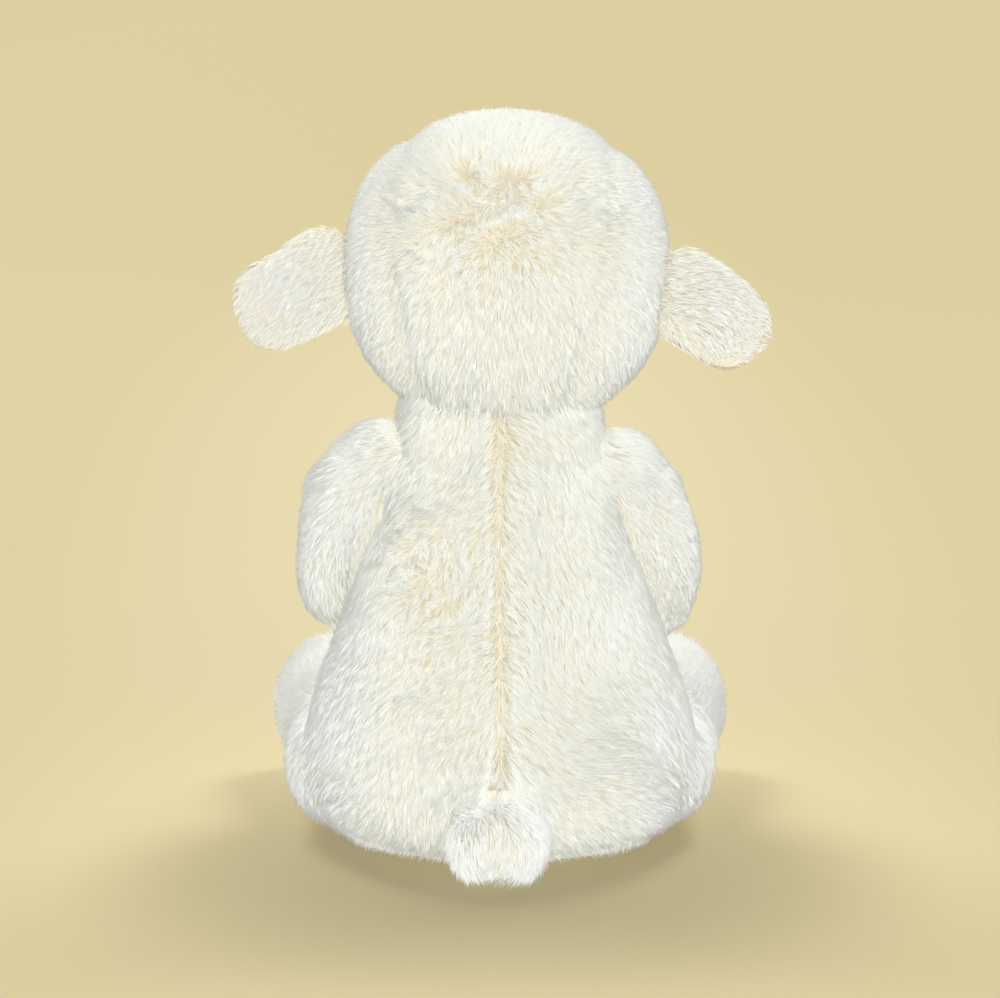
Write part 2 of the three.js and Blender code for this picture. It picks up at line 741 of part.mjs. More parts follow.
{
  const rootHeight = tailRadius - seatDent;
  const backFace = torsoBackAt(rootHeight);
  const hinge = new THREE.Vector3(0, torsoBackAt(2 * tailRadius), 2 * tailRadius);
  const lift = { pivot: hinge, axis: left, low: 0, high: tailUp };
  const layer = (shrink) => {
    const whole = solid(
      swelling({
        spine: [-tailSink, tailOut].map((way) => new THREE.Vector3(0, backFace + way, rootHeight)),
        across: left,
        halfWidth: tailRadius - shrink,
        halfHeight: tailRadius - shrink,
        shares: tailSwellShares,
        sides: tailSides,
        rings: tailRings,
        caps: [tailRadius - shrink, tailRadius - shrink],
      }),
    );
    const onFloor = shrink ? whole : beyond(whole, floor, up);
    return clearOf(onFloor, (gap) => torso(gap + shrink), lift, shrink ? innerCutStep : cutStep);
  };
  const shell = layer(0).subtract(layer(wall));
  const group = jointGroup(root, hinge);
  piece(group, 'tail_half_left', largest(beyond(shell, middle, left)), plush, hinge);
  piece(group, 'tail_half_right', largest(beyond(shell, middle, right)), plush, hinge);
  piece(group, 'tail_filling', layer(wall + layerGap), filling, hinge);
}

export default root;
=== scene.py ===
import math
from functools import partialmethod

import bmesh
import bpy
import numpy as np
from bpy.props import FloatProperty, FloatVectorProperty, IntProperty, PointerProperty
from mathutils import Matrix, Vector


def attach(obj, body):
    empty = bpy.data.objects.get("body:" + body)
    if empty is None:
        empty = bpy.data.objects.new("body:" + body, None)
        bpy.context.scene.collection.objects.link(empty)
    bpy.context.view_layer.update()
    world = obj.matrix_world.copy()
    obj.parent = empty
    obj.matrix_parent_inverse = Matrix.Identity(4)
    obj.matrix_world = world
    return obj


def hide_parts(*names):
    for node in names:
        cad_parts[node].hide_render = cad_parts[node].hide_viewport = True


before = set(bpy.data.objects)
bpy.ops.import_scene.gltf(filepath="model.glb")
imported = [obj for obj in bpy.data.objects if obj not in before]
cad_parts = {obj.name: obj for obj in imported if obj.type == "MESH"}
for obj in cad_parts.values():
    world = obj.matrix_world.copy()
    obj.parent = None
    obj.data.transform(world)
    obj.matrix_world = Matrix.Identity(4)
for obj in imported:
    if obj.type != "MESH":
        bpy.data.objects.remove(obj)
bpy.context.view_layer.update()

bl_info = {
    "name": "Plush lamb",
    "version": (1, 0, 0),
    "blender": (4, 5, 0),
    "location": "3D View > Sidebar > Lamb",
    "description": "A sitting plush lamb of long cream pile, sewn together from stuffed parts",
    "category": "Add Mesh",
}

MM = 0.001
LEFT_RIGHT = ((1, "left"), (-1, "right"))
ACROSS, BACK, UP = np.eye(3)

# The part's own sizes, in millimetres, as its source has them
TORSO_HALF_WIDTH, TORSO_HALF_DEPTH = 77.5, 61.0
NECK_HEIGHT, NECK_RADIUS, BELLY_FORWARD = 170.0, 41.0, 4.0
TORSO_WIDTH_SHARES = (
    (0, 0.41), (0.035, 0.64), (0.094, 0.86), (0.176, 0.98), (0.265, 1),
    (0.38, 0.89), (0.55, 0.61), (0.75, 0.28), (1, 0),
)
TORSO_DEPTH_SHARES = (
    (0, -0.4), (0.035, 0.2), (0.094, 0.68), (0.176, 0.96), (0.265, 1),
    (0.38, 0.92), (0.55, 0.69), (0.75, 0.33), (1, 0),
)
SEAT_SEAM = 11.0
HAUNCH_RADIUS = 33.0
HAUNCH = np.array((53.5, -14.0, 32.5))
HEAD_SIZE = np.array((63.0, 58.0, 61.0))
HEAD_MIDDLE = np.array((0.0, -3.0, 66.0))
HEAD_POWER, HEAD_ROLL, HEAD_YAW = 2.4, -2.0, -6.0
GUSSET_HALF_WIDTH = 39.0
GUSSET_SHARES = (
    (-1, 0.6), (-0.75, 0.68), (-0.4, 0.8), (0.15, 0.95), (0.5, 1), (0.85, 0.95), (1, 0.88),
)
FACE_SEAM = -45.0
MUZZLE_SIZE = np.array((27.0, 30.0, 21.0))
MUZZLE_MIDDLE = np.array((0.0, -51.0, 49.0))
EYE_SPREAD, EYE_RISE, EYE_RADIUS, EYE_DOME = 21.0, 9.0, 5.5, 4.2
NOSE_HALF_WIDTH, NOSE_HEIGHT, NOSE_RISE = 8.5, 8.5, 9.0
NOSE_SHARES = ((0, 0), (0.5, 0.33), (1, 0.75), (0.8, 1))
MOUTH_LINE, MOUTH_DROP, MOUTH_HALF_WIDTH, MOUTH_CURL = 1.8, 7.0, 9.0, 3.5
EAR_LENGTH, EAR_HALF_WIDTH, EAR_HALF_THICKNESS = 57.0, 18.5, 5.5
EAR_SINK, EAR_DROP, EAR_BACK, EAR_SLOPE, EAR_SWEEP = 10.0, 3.0, 3.0, 26.0, 18.0
ARM_RADIUS, SHOULDER_HEIGHT, ARM_DROP, ARM_FORWARD, ARM_TILT = 20.5, 152.0, 56.0, 38.0, 15.0
ARM_SPINE_SHARES = ((0, 0, 0.12), (0.33, 0.21, 0.42), (0.7, 0.53, 0.27), (1, 1, -0.1))
ARM_SWELL_SHARES = ((0, 1), (0.4, 0.97), (0.75, 1), (1, 1))
LEG_HALF_WIDTH, LEG_HALF_HEIGHT, LEG_REACH, LEG_SPLAY = 29.0, 31.5, 85.0, 9.0
LEG_ROOT, LEG_ROOT_CAP, FOOT_CAP, FOOT_POWER, SOLE_DEPTH = 0.14, 4.0, 24.0, 2.7, 8.0
LEG_SWELL_SHARES = ((0, 0.96), (0.45, 0.93), (1, 1))
TAIL_RADIUS, TAIL_OUT, TAIL_SINK = 18.5, 2.0, 12.0
TAIL_SWELL_SHARES = ((0, 0.9), (1, 1))
EVEN_SHARES = ((0, 1), (1, 1))
SEAT_DENT = 0.5

# The swells of the back over the arms' roots: how far out, each side's height, half sizes
SWELL_OUT, SWELL_HEIGHTS, SWELL_SIZE = 38.0, ((1, 161.0), (-1, 157.5)), (21.0, 17.0, 13.0)
# Where the pile of the head parts
WHORL = np.array((2.0, 36.0, 92.0))
BAG_HALF_WIDTH, BAG_HALF_DEPTH, BAG_MIDDLE, BAG_ABOVE, BAG_BELOW = 41.5, 32.5, 6.4, 21.5, 1.2
BAG_GATHERS = 26

# Degrees of each swing at which a soft part is pressed clear of its neighbour
EAR_ANGLES = (-15, 0, 60)
ARM_ANGLES = (0, -6, 12, 25, 37, 50, 62, 75, 0)
LEG_ANGLES = (-12, 0, 15, 30, 45, 60, 0)
TAIL_ANGLES = (0, 27, 55, 0)

# How high the underside of body and limbs lies above the floor
BODY_CLEAR, LIMB_CLEAR = 1.2, 0.9
# The dents of the seams in limbs and tail: their depths and their half width in millimetres
LIMB_DENT, TAIL_DENT, DENT_HALF_WIDTH = 1.2, 0.5, 2.6
# How far apart satin stitches lie, and how far their ends dip into the cloth
STITCH_PITCH, STITCH_DIP = 0.62, 0.3
STUFFING_FRAMES, STUFFING_QUALITY, SEAM_LEVELS = 14, 3, np.linspace(0.2, 1, 5)
# How long the waves are in the pile's lie, in its matted knots and in its tone
SWIRL_WAVE, KNOT_WAVE, CURL_WAVE, TONE_WAVE = 26, 6, 13, 18
# Numbers of the panels on a skin. No pile grows where the number is BARE
BARE = 0
BACK_LEFT, BACK_RIGHT, BELLY, SEAT = 1, 2, 3, 4
GUSSET, CHEEK_LEFT, CHEEK_RIGHT = 1, 2, 3
OUTER, INNER = 1, 2
TAIL_LEFT, TAIL_RIGHT = 1, 2
EAR_REAR = 1
# What the trees note on a mesh for themselves, and the finished piece has no use for
SPARE_ATTRIBUTES = ("pull", "strand_tone", "rise", "rim")

# The stage, in metres and watts: name, place, size, power, whether it casts shadows
AIM, LAMP_AIM = Vector((0, 0, 0.143)), Vector((0, 0, 0.13))
LAMPS = (
    ("Key", (1.0, 1.9, 0.3), 0.8, 14.5, False),
    ("Fill", (-1.15, 1.7, 0.28), 0.8, 17.0, False),
    ("Top left", (0.5, -0.55, 1.1), 0.55, 5.0, True),
    ("Top right", (-0.5, -0.55, 1.1), 0.55, 5.0, True),
    ("Front", (0.4, -1.7, 0.5), 0.8, 6.0, False),
)
SHEET_BEND, SHEET_BACK, SHEET_FRONT, SHEET_TOP, SHEET_HALF_WIDTH = 0.8, -1.3, 3.2, 3.2, 3.4
ROOM_LIGHT, FLOOR_GLOW = 0.43, 0.22
BLACK = (0, 0, 0, 1)


def shade(red, green, blue):
    """A colour as the screen shows it, from 0 to 255, as the values that Blender works in."""
    levels = [level / 255 for level in (red, green, blue)]
    return tuple(c / 12.92 if c <= 0.04045 else ((c + 0.055) / 1.055) ** 2.4 for c in levels)


# Forms, worked out in millimetres


def along(table, place):
    """A smooth curve through a table of places and values, level beyond both ends."""
    x, y = np.array(table, float).T
    order = np.arange(len(x))
    before, after = np.maximum(order - 1, 0), np.minimum(order + 1, len(x) - 1)
    slope = (y[after] - y[before]) / (x[after] - x[before])
    place = np.clip(place, x[0], x[-1])
    i = np.clip(np.searchsorted(x, place, side="right") - 1, 0, len(x) - 2)
    span = x[i + 1] - x[i]
    t = (place - x[i]) / span
    return (
        (2 * t**3 - 3 * t**2 + 1) * y[i]
        + (t**3 - 2 * t**2 + t) * span * slope[i]
        + (3 * t**2 - 2 * t**3) * y[i + 1]
        + (t**3 - t**2) * span * slope[i + 1]
    )


def bump(distance, width):
    """1 at no distance, falling to nothing a few widths away."""
    return np.exp(-((distance / width) ** 2))


def patch(x, wide, z, high):
    """1 where x and z are 0, falling to nothing around in an oval."""
    return np.exp(-((x / wide) ** 2) - (z / high) ** 2)


def step(value, low, high):
    """0 below low and 1 above high, with a soft step between them."""
    t = np.clip((value - low) / (high - low), 0, 1)
    return t * t * (3 - 2 * t)


def torso_half_width(z):
    share = along(TORSO_WIDTH_SHARES, z / NECK_HEIGHT)
    return NECK_RADIUS + (TORSO_HALF_WIDTH - NECK_RADIUS) * share


def torso_half_depth(z):
    share = along(TORSO_DEPTH_SHARES, z / NECK_HEIGHT)
    return NECK_RADIUS + (TORSO_HALF_DEPTH - NECK_RADIUS) * share


def torso_middle(z):
    return -BELLY_FORWARD * (1 - np.maximum(z, 0) / NECK_HEIGHT)


def parting(z):
    """How far the pile's parting strays from the back seam."""
    return 1.2 * np.sin(z / 17)


def ring(centre, u, v, a, b, sides):
    """Points round an ellipse of half sizes a along u and b along v."""
    angle = np.linspace(0, 2 * math.pi, sides, endpoint=False)[:, None]
    return centre + a * np.cos(angle) * u + b * np.sin(angle) * v


def loft(rings, start, end):
    """A closed skin over rings, as its points and faces."""
    rings = np.array(rings)
    count, sides = rings.shape[:2]
    points = np.vstack([rings.reshape(-1, 3), [start], [end]])
    first, last, top = count * sides, count * sides + 1, (count - 1) * sides
    faces = []
    for j in range(sides):
        after = (j + 1) % sides
        faces.append((first, after, j))
        for low in range(0, top, sides):
            high = low + sides
            faces.append((low + j, low + after, high + after, high + j))
        faces.append((last, top + j, top + after))
    return points, faces


def ball(centre, radii, sides=48):
    """A ball or an ellipsoid as points and faces."""
    radii = np.array(radii) * np.ones(3)
    rings = [
        ring(
            centre - UP * radii[2] * math.cos(a), ACROSS, BACK,
            radii[0] * math.sin(a), radii[1] * math.sin(a), sides,
        )
        for a in np.linspace(0, math.pi, sides // 2 + 1)[1:-1]
    ]
    return loft(rings, centre - UP * radii[2], centre + UP * radii[2])


def torso_form(grow, base, sides=72):
    """The pear of the body with its round neck, standing on base."""
    rings = []
    for height in np.linspace(base, NECK_HEIGHT, 60):
        centre = torso_middle(height) * BACK + height * UP
        a, b = torso_half_width(height) + grow, torso_half_depth(height) + grow
        rings.append(ring(centre, ACROSS, BACK, a, b, sides))
    radius = NECK_RADIUS + grow
    for angle in np.linspace(0, math.pi / 2, 14)[1:-1]:
        out = radius * math.cos(angle)
        height = NECK_HEIGHT + radius * math.sin(angle)
        rings.append(ring(height * UP, ACROSS, BACK, out, out, sides))
    return loft(rings, torso_middle(base) * BACK + base * UP, (NECK_HEIGHT + radius) * UP)


def rounded(share):
    return (1 - np.abs(share) ** HEAD_POWER) ** (1 / HEAD_POWER)


def head_form(grow, sides=72):
    """The head as a round block, in its own frame at the neck."""
    size = HEAD_SIZE + grow
    rings = []
    for angle in np.linspace(0, math.pi, 49)[1:-1]:
        rise = -math.cos(angle)
        a, b, _ = rounded(rise) * size
        rings.append(ring(HEAD_MIDDLE + UP * rise * size[2], ACROSS, BACK, a, b, sides))
    return loft(rings, HEAD_MIDDLE - UP * size[2], HEAD_MIDDLE + UP * size[2])


def run_of(path):
    """How far along a path each of its points lies."""
    return np.concatenate([[0], np.cumsum(np.linalg.norm(np.diff(path, axis=0), axis=1))])


def smooth_path(knots, count):
    """Evenly spaced points and directions along a smooth curve through knots."""
    knots = np.array(knots, float)
    ends = [2 * knots[0] - knots[1], *knots, 2 * knots[-1] - knots[-2]]
    fine = []
    for a, b, c, d in zip(ends, ends[1:], ends[2:], ends[3:]):
        for t in np.linspace(0, 1, 40, endpoint=False):
            bend = 2 * b + (c - a) * t + (2 * a - 5 * b + 4 * c - d) * t**2
            fine.append(0.5 * (bend + (3 * b - a - 3 * c + d) * t**3))
    fine = np.array([*fine, knots[-1]])
    run = run_of(fine)
    wanted = np.linspace(0, run[-1], count)
    points = np.array([np.interp(wanted, run, axis) for axis in fine.T]).T
    ways = np.gradient(points, axis=0)
    return points, ways / np.linalg.norm(ways, axis=1)[:, None]


def swelling(knots, across, half_width, half_height, shares, caps, power=2.0, sides=56, rings=34):
    """A stuffed limb along a curve, with round ends: points, faces and the way it runs at each."""
    path, ways = smooth_path(knots, rings)
    made, run = [], []

    def add(centre, way, share, cap):
        u = across - way * across.dot(way)
        u /= np.linalg.norm(u)
        swell, v = along(shares, share) * cap, np.cross(way, u)
        made.append(ring(centre, u, v, half_width * swell, half_height * swell, sides))
        run.extend([way] * sides)

    outs = np.cos(np.linspace(0, math.pi / 2, 12)[1:])
    outs = outs[outs > 1e-6]
    for out in outs:
        add(path[0] - ways[0] * caps[0] * out, ways[0], 0, math.sqrt(1 - out**2))
    for k, (centre, way) in enumerate(zip(path, ways)):
        add(centre, way, k / (rings - 1), 1)
    for out in outs[::-1]:
        add(path[-1] + ways[-1] * caps[1] * out, ways[-1], 1, (1 - out**power) ** (1 / power))
    points, faces = loft(made, path[0] - ways[0] * caps[0], path[-1] + ways[-1] * caps[1])
    return points, faces, np.array([*run, ways[0], ways[-1]])


# What soft parts are pressed clear of


def off_torso(points, gap):
    """Points inside the body, or nearer to it than gap, moved out level to that distance."""
    points = points.copy()
    x, y, z = points.T
    a, b = torso_half_width(z) + gap, torso_half_depth(z) + gap
    middle = torso_middle(z)
    share = np.hypot(x / a, (y - middle) / b)
    inside = (share < 1) & (z < NECK_HEIGHT)
    push = 1 / np.maximum(share[inside], 0.2)
    points[inside, 0] *= push
    points[inside, 1] = middle[inside] + (y[inside] - middle[inside]) * push
    return points


def off_ball(points, centre, radius):
    points = points.copy()
    away = points - centre
    far = np.linalg.norm(away, axis=1)
    inside = far < radius
    points[inside] = centre + away[inside] * (radius / np.maximum(far[inside], 1))[:, None]
    return points


def off_head(points, gap):
    points = points.copy()
    away = points - HEAD_MIDDLE
    x, y, z = (away / (HEAD_SIZE + gap)).T
    share = (np.abs(z) ** HEAD_POWER + np.hypot(x, y) ** HEAD_POWER) ** (1 / HEAD_POWER)
    inside = share < 1
    points[inside] = HEAD_MIDDLE + away[inside] / np.maximum(share[inside], 0.2)[:, None]
    return points


def pressed(points, push, pivot, axis, angles):
    """Points pushed clear at each angle in degrees of a swing about pivot."""
    for angle in angles:
        turn = np.array(Matrix.Rotation(math.radians(angle), 3, Vector(axis)))
        points = (push((points - pivot) @ turn.T + pivot) - pivot) @ turn + pivot
    return points


def on_floor(points, lowest):
    """Points kept above the floor, the soft underside pressed flat on it."""
    points = points.copy()
    points[:, 2] = np.maximum(points[:, 2], lowest)
    return points


def head_matrix():
    yaw = Matrix.Rotation(math.radians(HEAD_YAW), 4, "Z")
    roll = Matrix.Rotation(math.radians(HEAD_ROLL), 4, "Y")
    return np.array(Matrix.Translation((0, 0, NECK_HEIGHT)) @ (yaw @ roll))


def turned_from_head(ways):
    return ways @ head_matrix()[:3, :3].T


def from_head(points):
    """Points of the head's own frame in the lamb's."""
    return turned_from_head(points) + head_matrix()[:3, 3]


def gusset_half_width(rise):
    return GUSSET_HALF_WIDTH * along(GUSSET_SHARES, rise / HEAD_SIZE[2])


def rows_of_noise(points, scale, seed, waves=14):
    """Three smooth random values at each point, from sums of waves a few scales long."""
    chance = np.random.default_rng(seed)
    total = np.zeros((len(points), 3))
    for _ in range(waves):
        way = chance.normal(size=3)
        way *= chance.uniform(0.6, 1.6) / (scale * np.linalg.norm(way))
        phase = chance.uniform(0, 2 * math.pi)
        total += np.sin(points @ way * math.pi + phase)[:, None] * chance.normal(size=3)
    return total / math.sqrt(waves)


# Blender meshes


def sizes():
    return bpy.context.scene.lamb_sizes


def colours():
    return bpy.context.scene.lamb_colours


def link(name, mesh):
    piece = bpy.data.objects.new(name, mesh)
    bpy.context.scene.collection.objects.link(piece)
    return piece


def turn_outwards(mesh):
    edit = bmesh.new()
    edit.from_mesh(mesh)
    bmesh.ops.recalc_face_normals(edit, faces=edit.faces)
    edit.to_mesh(mesh)
    edit.free()
    mesh.shade_smooth()


def mesh_piece(name, points, faces):
    """A piece from points in millimetres, its faces outwards."""
    mesh = bpy.data.meshes.new(name)
    faces = [tuple(map(int, face)) for face in faces]
    mesh.from_pydata((np.array(points) * MM).tolist(), [], faces)
    turn_outwards(mesh)
    return link(name, mesh)


def joined(parts):
    """Several forms as one set of points and faces."""
    points, faces, shift = [], [], 0
    for some, these in parts:
        points.append(some)
        faces += [tuple(i + shift for i in face) for face in these]
        shift += len(some)
    return np.vstack(points), faces


def mesh_made(piece):
    """What a piece's modifiers make, as a plain mesh."""
    depsgraph = bpy.context.evaluated_depsgraph_get()
    return bpy.data.meshes.new_from_object(
        piece.evaluated_get(depsgraph), preserve_all_data_layers=True, depsgraph=depsgraph
    )


def settle(piece):
    """Turns what the modifiers make into the piece's own mesh."""
    mesh, old = mesh_made(piece), piece.data
    piece.modifiers.clear()
    piece.data = mesh
    mesh.name = piece.name
    bpy.data.meshes.remove(old)
    mesh.shade_smooth()
    return piece


def fused(name, parts, voxel, softening):
    """Overlapping closed forms melted into one skin."""
    piece = mesh_piece(name, *joined(parts))
    melt = piece.modifiers.new("Melt", "REMESH")
    melt.mode, melt.voxel_size = "VOXEL", voxel * MM
    soften = piece.modifiers.new("Soften", "SMOOTH")
    soften.factor, soften.iterations = 0.5, softening
    return settle(piece)


def read(rows, key):
    """Three values for each row of a mesh's data."""
    flat = np.empty(len(rows) * 3)
    rows.foreach_get(key, flat)
    return flat.reshape(-1, 3)


def points_of(piece):
    return read(piece.data.vertices, "co") / MM


def normals_of(piece):
    return read(piece.data.vertex_normals, "vector")


def centres_of(piece):
    return read(piece.data.polygons, "center") / MM


def surface_of(piece):
    """A piece's points and normals, and the points' three places."""
    points = points_of(piece)
    return points, normals_of(piece), *points.T


def place_points(piece, points):
    piece.data.vertices.foreach_set("co", (points * MM).ravel())
    piece.data.update()


def stuffed(piece, held):
    """Swells a skin with its filling: cloth under pressure, which its seams hold in.

    held is how firmly each point is sewn down, from 0 to 1. No point moves by more than the cap.
    """
    s, scene, start = sizes(), bpy.context.scene, points_of(piece)
    seams = piece.vertex_groups.new(name="Seams")
    for level in SEAM_LEVELS:
        sewn = np.flatnonzero(np.abs(held - level) <= 0.1)
        seams.add([int(k) for k in sewn], float(level), "REPLACE")
    cloth = piece.modifiers.new("Filling", "CLOTH")
    settings = cloth.settings
    settings.vertex_group_mass = seams.name
    settings.mass, settings.quality = s.mass, STUFFING_QUALITY
    settings.tension_stiffness = settings.compression_stiffness = s.stretch
    settings.shear_stiffness = s.stretch / 3
    settings.use_pressure = True
    settings.uniform_pressure_force = s.pressure
    settings.effector_weights.gravity = 0.0
    cloth.collision_settings.use_collision = False
    for frame_number in range(1, STUFFING_FRAMES + 1):
        scene.frame_set(frame_number)
    settle(piece)
    scene.frame_set(1)
    piece.vertex_groups.clear()
    moved = points_of(piece) - start
    far, cap = np.linalg.norm(moved, axis=1), s.swell / MM
    share = cap * np.tanh(far / cap) / np.maximum(far, 1e-9)
    place_points(piece, start + moved * share[:, None])


def dent(piece, across, depth, lowest=-math.inf):
    """Pulls the cloth in along a seam, by each point's distance across it, and gives its points."""
    drawn = normals_of(piece) * (depth * bump(across, DENT_HALF_WIDTH))[:, None]
    points = on_floor(points_of(piece) - drawn, lowest)
    place_points(piece, points)
    return points


def half_cut(piece, point, way):
    """Keeps what lies on the side that way shows of a plane, and closes the cut."""
    edit = bmesh.new()
    edit.from_mesh(piece.data)
    cut = bmesh.ops.bisect_plane(
        edit, geom=edit.verts[:] + edit.edges[:] + edit.faces[:],
        plane_co=Vector(point) * MM, plane_no=-Vector(way), clear_outer=True,
    )
    rim = [g for g in cut["geom_cut"] if isinstance(g, bmesh.types.BMEdge)]
    filled = bmesh.ops.edgeloop_fill(edit, edges=rim)["faces"]
    bmesh.ops.triangulate(edit, faces=filled)
    edit.to_mesh(piece.data)
    edit.free()
    turn_outwards(piece.data)


def note(piece, name, values, kind="FLOAT", domain="POINT"):
    """Writes one value for each point or face under a name that the pile's tree reads."""
    old = piece.data.attributes.get(name)
    if old:
        piece.data.attributes.remove(old)
    attribute = piece.data.attributes.new(name, kind, domain)
    key = "vector" if kind == "FLOAT_VECTOR" else "value"
    attribute.data.foreach_set(key, np.ascontiguousarray(values).ravel())


def coat(piece, ways, panels, seed, tone, swirl=0.35, matted=0.0, thick=1.0, **shares):
    """Notes on a skin what its pile's tree reads. panels are numbers for each face, ways say how
    the pile lies, and shares are its length and lift at each point."""
    points, normals = points_of(piece), normals_of(piece)
    full = np.ones(len(points))
    stirred = ways + rows_of_noise(points, SWIRL_WAVE, seed) * (full * swirl)[:, None]
    knots = rows_of_noise(points, KNOT_WAVE, seed + 3)
    knots = knots + 0.8 * rows_of_noise(points, CURL_WAVE, seed + 5)
    stirred += knots * (full * matted)[:, None]
    flat = stirred - normals * (stirred * normals).sum(1)[:, None]
    flat /= np.maximum(np.linalg.norm(flat, axis=1)[:, None], 0.15)
    patchy = rows_of_noise(points, TONE_WAVE, seed + 7)[:, 0] * 0.05
    note(piece, "comb", flat, "FLOAT_VECTOR")
    note(piece, "tone", np.clip(full * tone + patchy, 0.05, 0.95))
    for name, share in {"matted": matted, "thick": thick, **shares}.items():
        note(piece, name, full * share)
    note(piece, "panel", panels.astype(np.int32), "INT", "FACE")


def carry_from_head(piece, points):
    """Puts a piece's points, and its comb if it has one, where the head's tilt brings them."""
    comb = piece.data.attributes.get("comb")
    if comb:
        note(piece, "comb", turned_from_head(read(comb.data, "vector")), "FLOAT_VECTOR")
    place_points(piece, from_head(points))


# Trees of nodes


class Tree:
    """A tree of nodes. Its methods add a node each, and most return that node's output."""

    def __init__(self, nodes):
        self.nodes = nodes

    def node(self, kind, inputs=None, **options):
        """Adds a node with its options, its inputs fed from values or from other nodes."""
        made = self.nodes.nodes.new(kind)
        for key, value in options.items():
            setattr(made, key, value)
        for key, value in (inputs or {}).items():
            self.feed(made, key, value)
        return made

    def feed(self, node, key, value):
        if isinstance(value, bpy.types.NodeSocket):
            self.nodes.links.new(value, node.inputs[key])
        else:
            node.inputs[key].default_value = value

    def out(self, kind, inputs=None, **options):
        return self.node(kind, inputs, **options).outputs[0]

    def maths(self, operation, *values):
        return self.out("ShaderNodeMath", dict(enumerate(values)), operation=operation)

    times = partialmethod(maths, "MULTIPLY")
    plus = partialmethod(maths, "ADD")
    less = partialmethod(maths, "SUBTRACT")
    times_plus = partialmethod(maths, "MULTIPLY_ADD")
    power = partialmethod(maths, "POWER")
    most = partialmethod(maths, "MAXIMUM")
    sine = partialmethod(maths, "SINE")

    def vectors(self, operation, *values):
        return self.out("ShaderNodeVectorMath", dict(enumerate(values)), operation=operation)

    def scaled(self, vector, factor):
        return self.out("ShaderNodeVectorMath", {0: vector, 3: factor}, operation="SCALE")

    def long(self, vector):
        """How long a vector is."""
        return self.node("ShaderNodeVectorMath", {0: vector}, operation="LENGTH").outputs["Value"]

    def split(self, vector):
        return self.node("ShaderNodeSeparateXYZ", {0: vector}).outputs

    def combine(self, x, y, z):
        return self.out("ShaderNodeCombineXYZ", {0: x, 1: y, 2: z})

    def grey(self, level):
        return self.out("ShaderNodeCombineColor", {0: level, 1: level, 2: level})

    def ranged(self, value, low, high, least=0.0, most=1.0, kind="SMOOTHSTEP"):
        """From least to most, as value goes from low to high."""
        names = ("Value", "From Min", "From Max", "To Min", "To Max")
        inputs = dict(zip(names, (value, low, high, least, most)))
        return self.out("ShaderNodeMapRange", inputs, interpolation_type=kind)

    def mix(self, factor, first, second, blend="MIX"):
        inputs = {0: factor, 6: first, 7: second}
        return self.node("ShaderNodeMix", inputs, data_type="RGBA", blend_type=blend).outputs[2]

    def ramp(self, factor, *stops):
        """A colour for each value, from stops of a place and a colour."""
        ramp = self.node("ShaderNodeValToRGB", {0: factor})
        while len(ramp.color_ramp.elements) < len(stops):
            ramp.color_ramp.elements.new(0.5)
        for element, (where, colour) in zip(ramp.color_ramp.elements, stops):
            element.position, element.color = where, (*colour, 1)
        return ramp.outputs[0]

    def where(self):
        return self.node("ShaderNodeTexCoord").outputs["Object"]

    def noise(self, where, scale, detail, output=0):
        inputs = {"Vector": where, "Scale": scale, "Detail": detail}
        return self.node("ShaderNodeTexNoise", inputs).outputs[output]

    def group(self, name, **values):
        """The outputs of a shared group with its own values."""
        return self.node("ShaderNodeGroup", values, node_tree=bpy.data.node_groups[name]).outputs

    def direct(self):
        """1 for what is seen straight or mirrored, and 0 for what only lights other things."""
        seen = self.node("ShaderNodeLightPath").outputs
        direct = self.most(seen["Is Camera Ray"], seen["Is Glossy Ray"])
        return self.most(direct, seen["Is Transmission Ray"])

    def bump(self, shader, height, distance, strength):
        inputs = {"Height": height, "Distance": distance, "Strength": strength}
        self.feed(shader, "Normal", self.out("ShaderNodeBump", inputs))

    def chance(self, low, high, seed, **item):
        """A random number for each element, or for each value of ID."""
        inputs = {2: low, 3: high, "Seed": seed, **item}
        return self.node("FunctionNodeRandomValue", inputs, data_type="FLOAT").outputs[1]

    def chance_way(self, seed, **item):
        inputs = {0: (-1.0,) * 3, 1: (1.0,) * 3, "Seed": seed, **item}
        return self.out("FunctionNodeRandomValue", inputs, data_type="FLOAT_VECTOR")

    def noted(self, name, kind="FLOAT"):
        return self.out("GeometryNodeInputNamedAttribute", {"Name": name}, data_type=kind)

    def store(self, geometry, name, value, kind="FLOAT", domain="POINT"):
        inputs = {"Geometry": geometry, "Name": name, "Value": value}
        return self.out("GeometryNodeStoreNamedAttribute", inputs, data_type=kind, domain=domain)

    def position(self):
        return self.out("GeometryNodeInputPosition")

    def move(self, geometry, key, value):
        return self.out("GeometryNodeSetPosition", {"Geometry": geometry, key: value})

    def finish(self, geometry, material):
        """Smooths what the tree has made, gives it its material and hands it out."""
        geometry = self.out("GeometryNodeSetShadeSmooth", {"Geometry": geometry})
        geometry = self.out("GeometryNodeSetMaterial", {"Geometry": geometry, "Material": material})
        self.node("NodeGroupOutput", {0: geometry})
        return self.nodes


NUMBER, WHOLE, COLOUR = "NodeSocketFloat", "NodeSocketInt", "NodeSocketColor"
GEOMETRY, MATERIAL = "NodeSocketGeometry", "NodeSocketMaterial"


def new_tree(name, kind, inputs, outputs):
    """An empty tree or group with named inputs and outputs, and what feeds its inside."""
    nodes = bpy.data.node_groups.new(name, kind)
    for label, socket, *value in inputs:
        made = nodes.interface.new_socket(label, in_out="INPUT", socket_type=socket)
        if value:
            made.default_value = value[0]
    for label, socket in outputs:
        nodes.interface.new_socket(label, in_out="OUTPUT", socket_type=socket)
    return Tree(nodes), nodes.nodes.new("NodeGroupInput").outputs


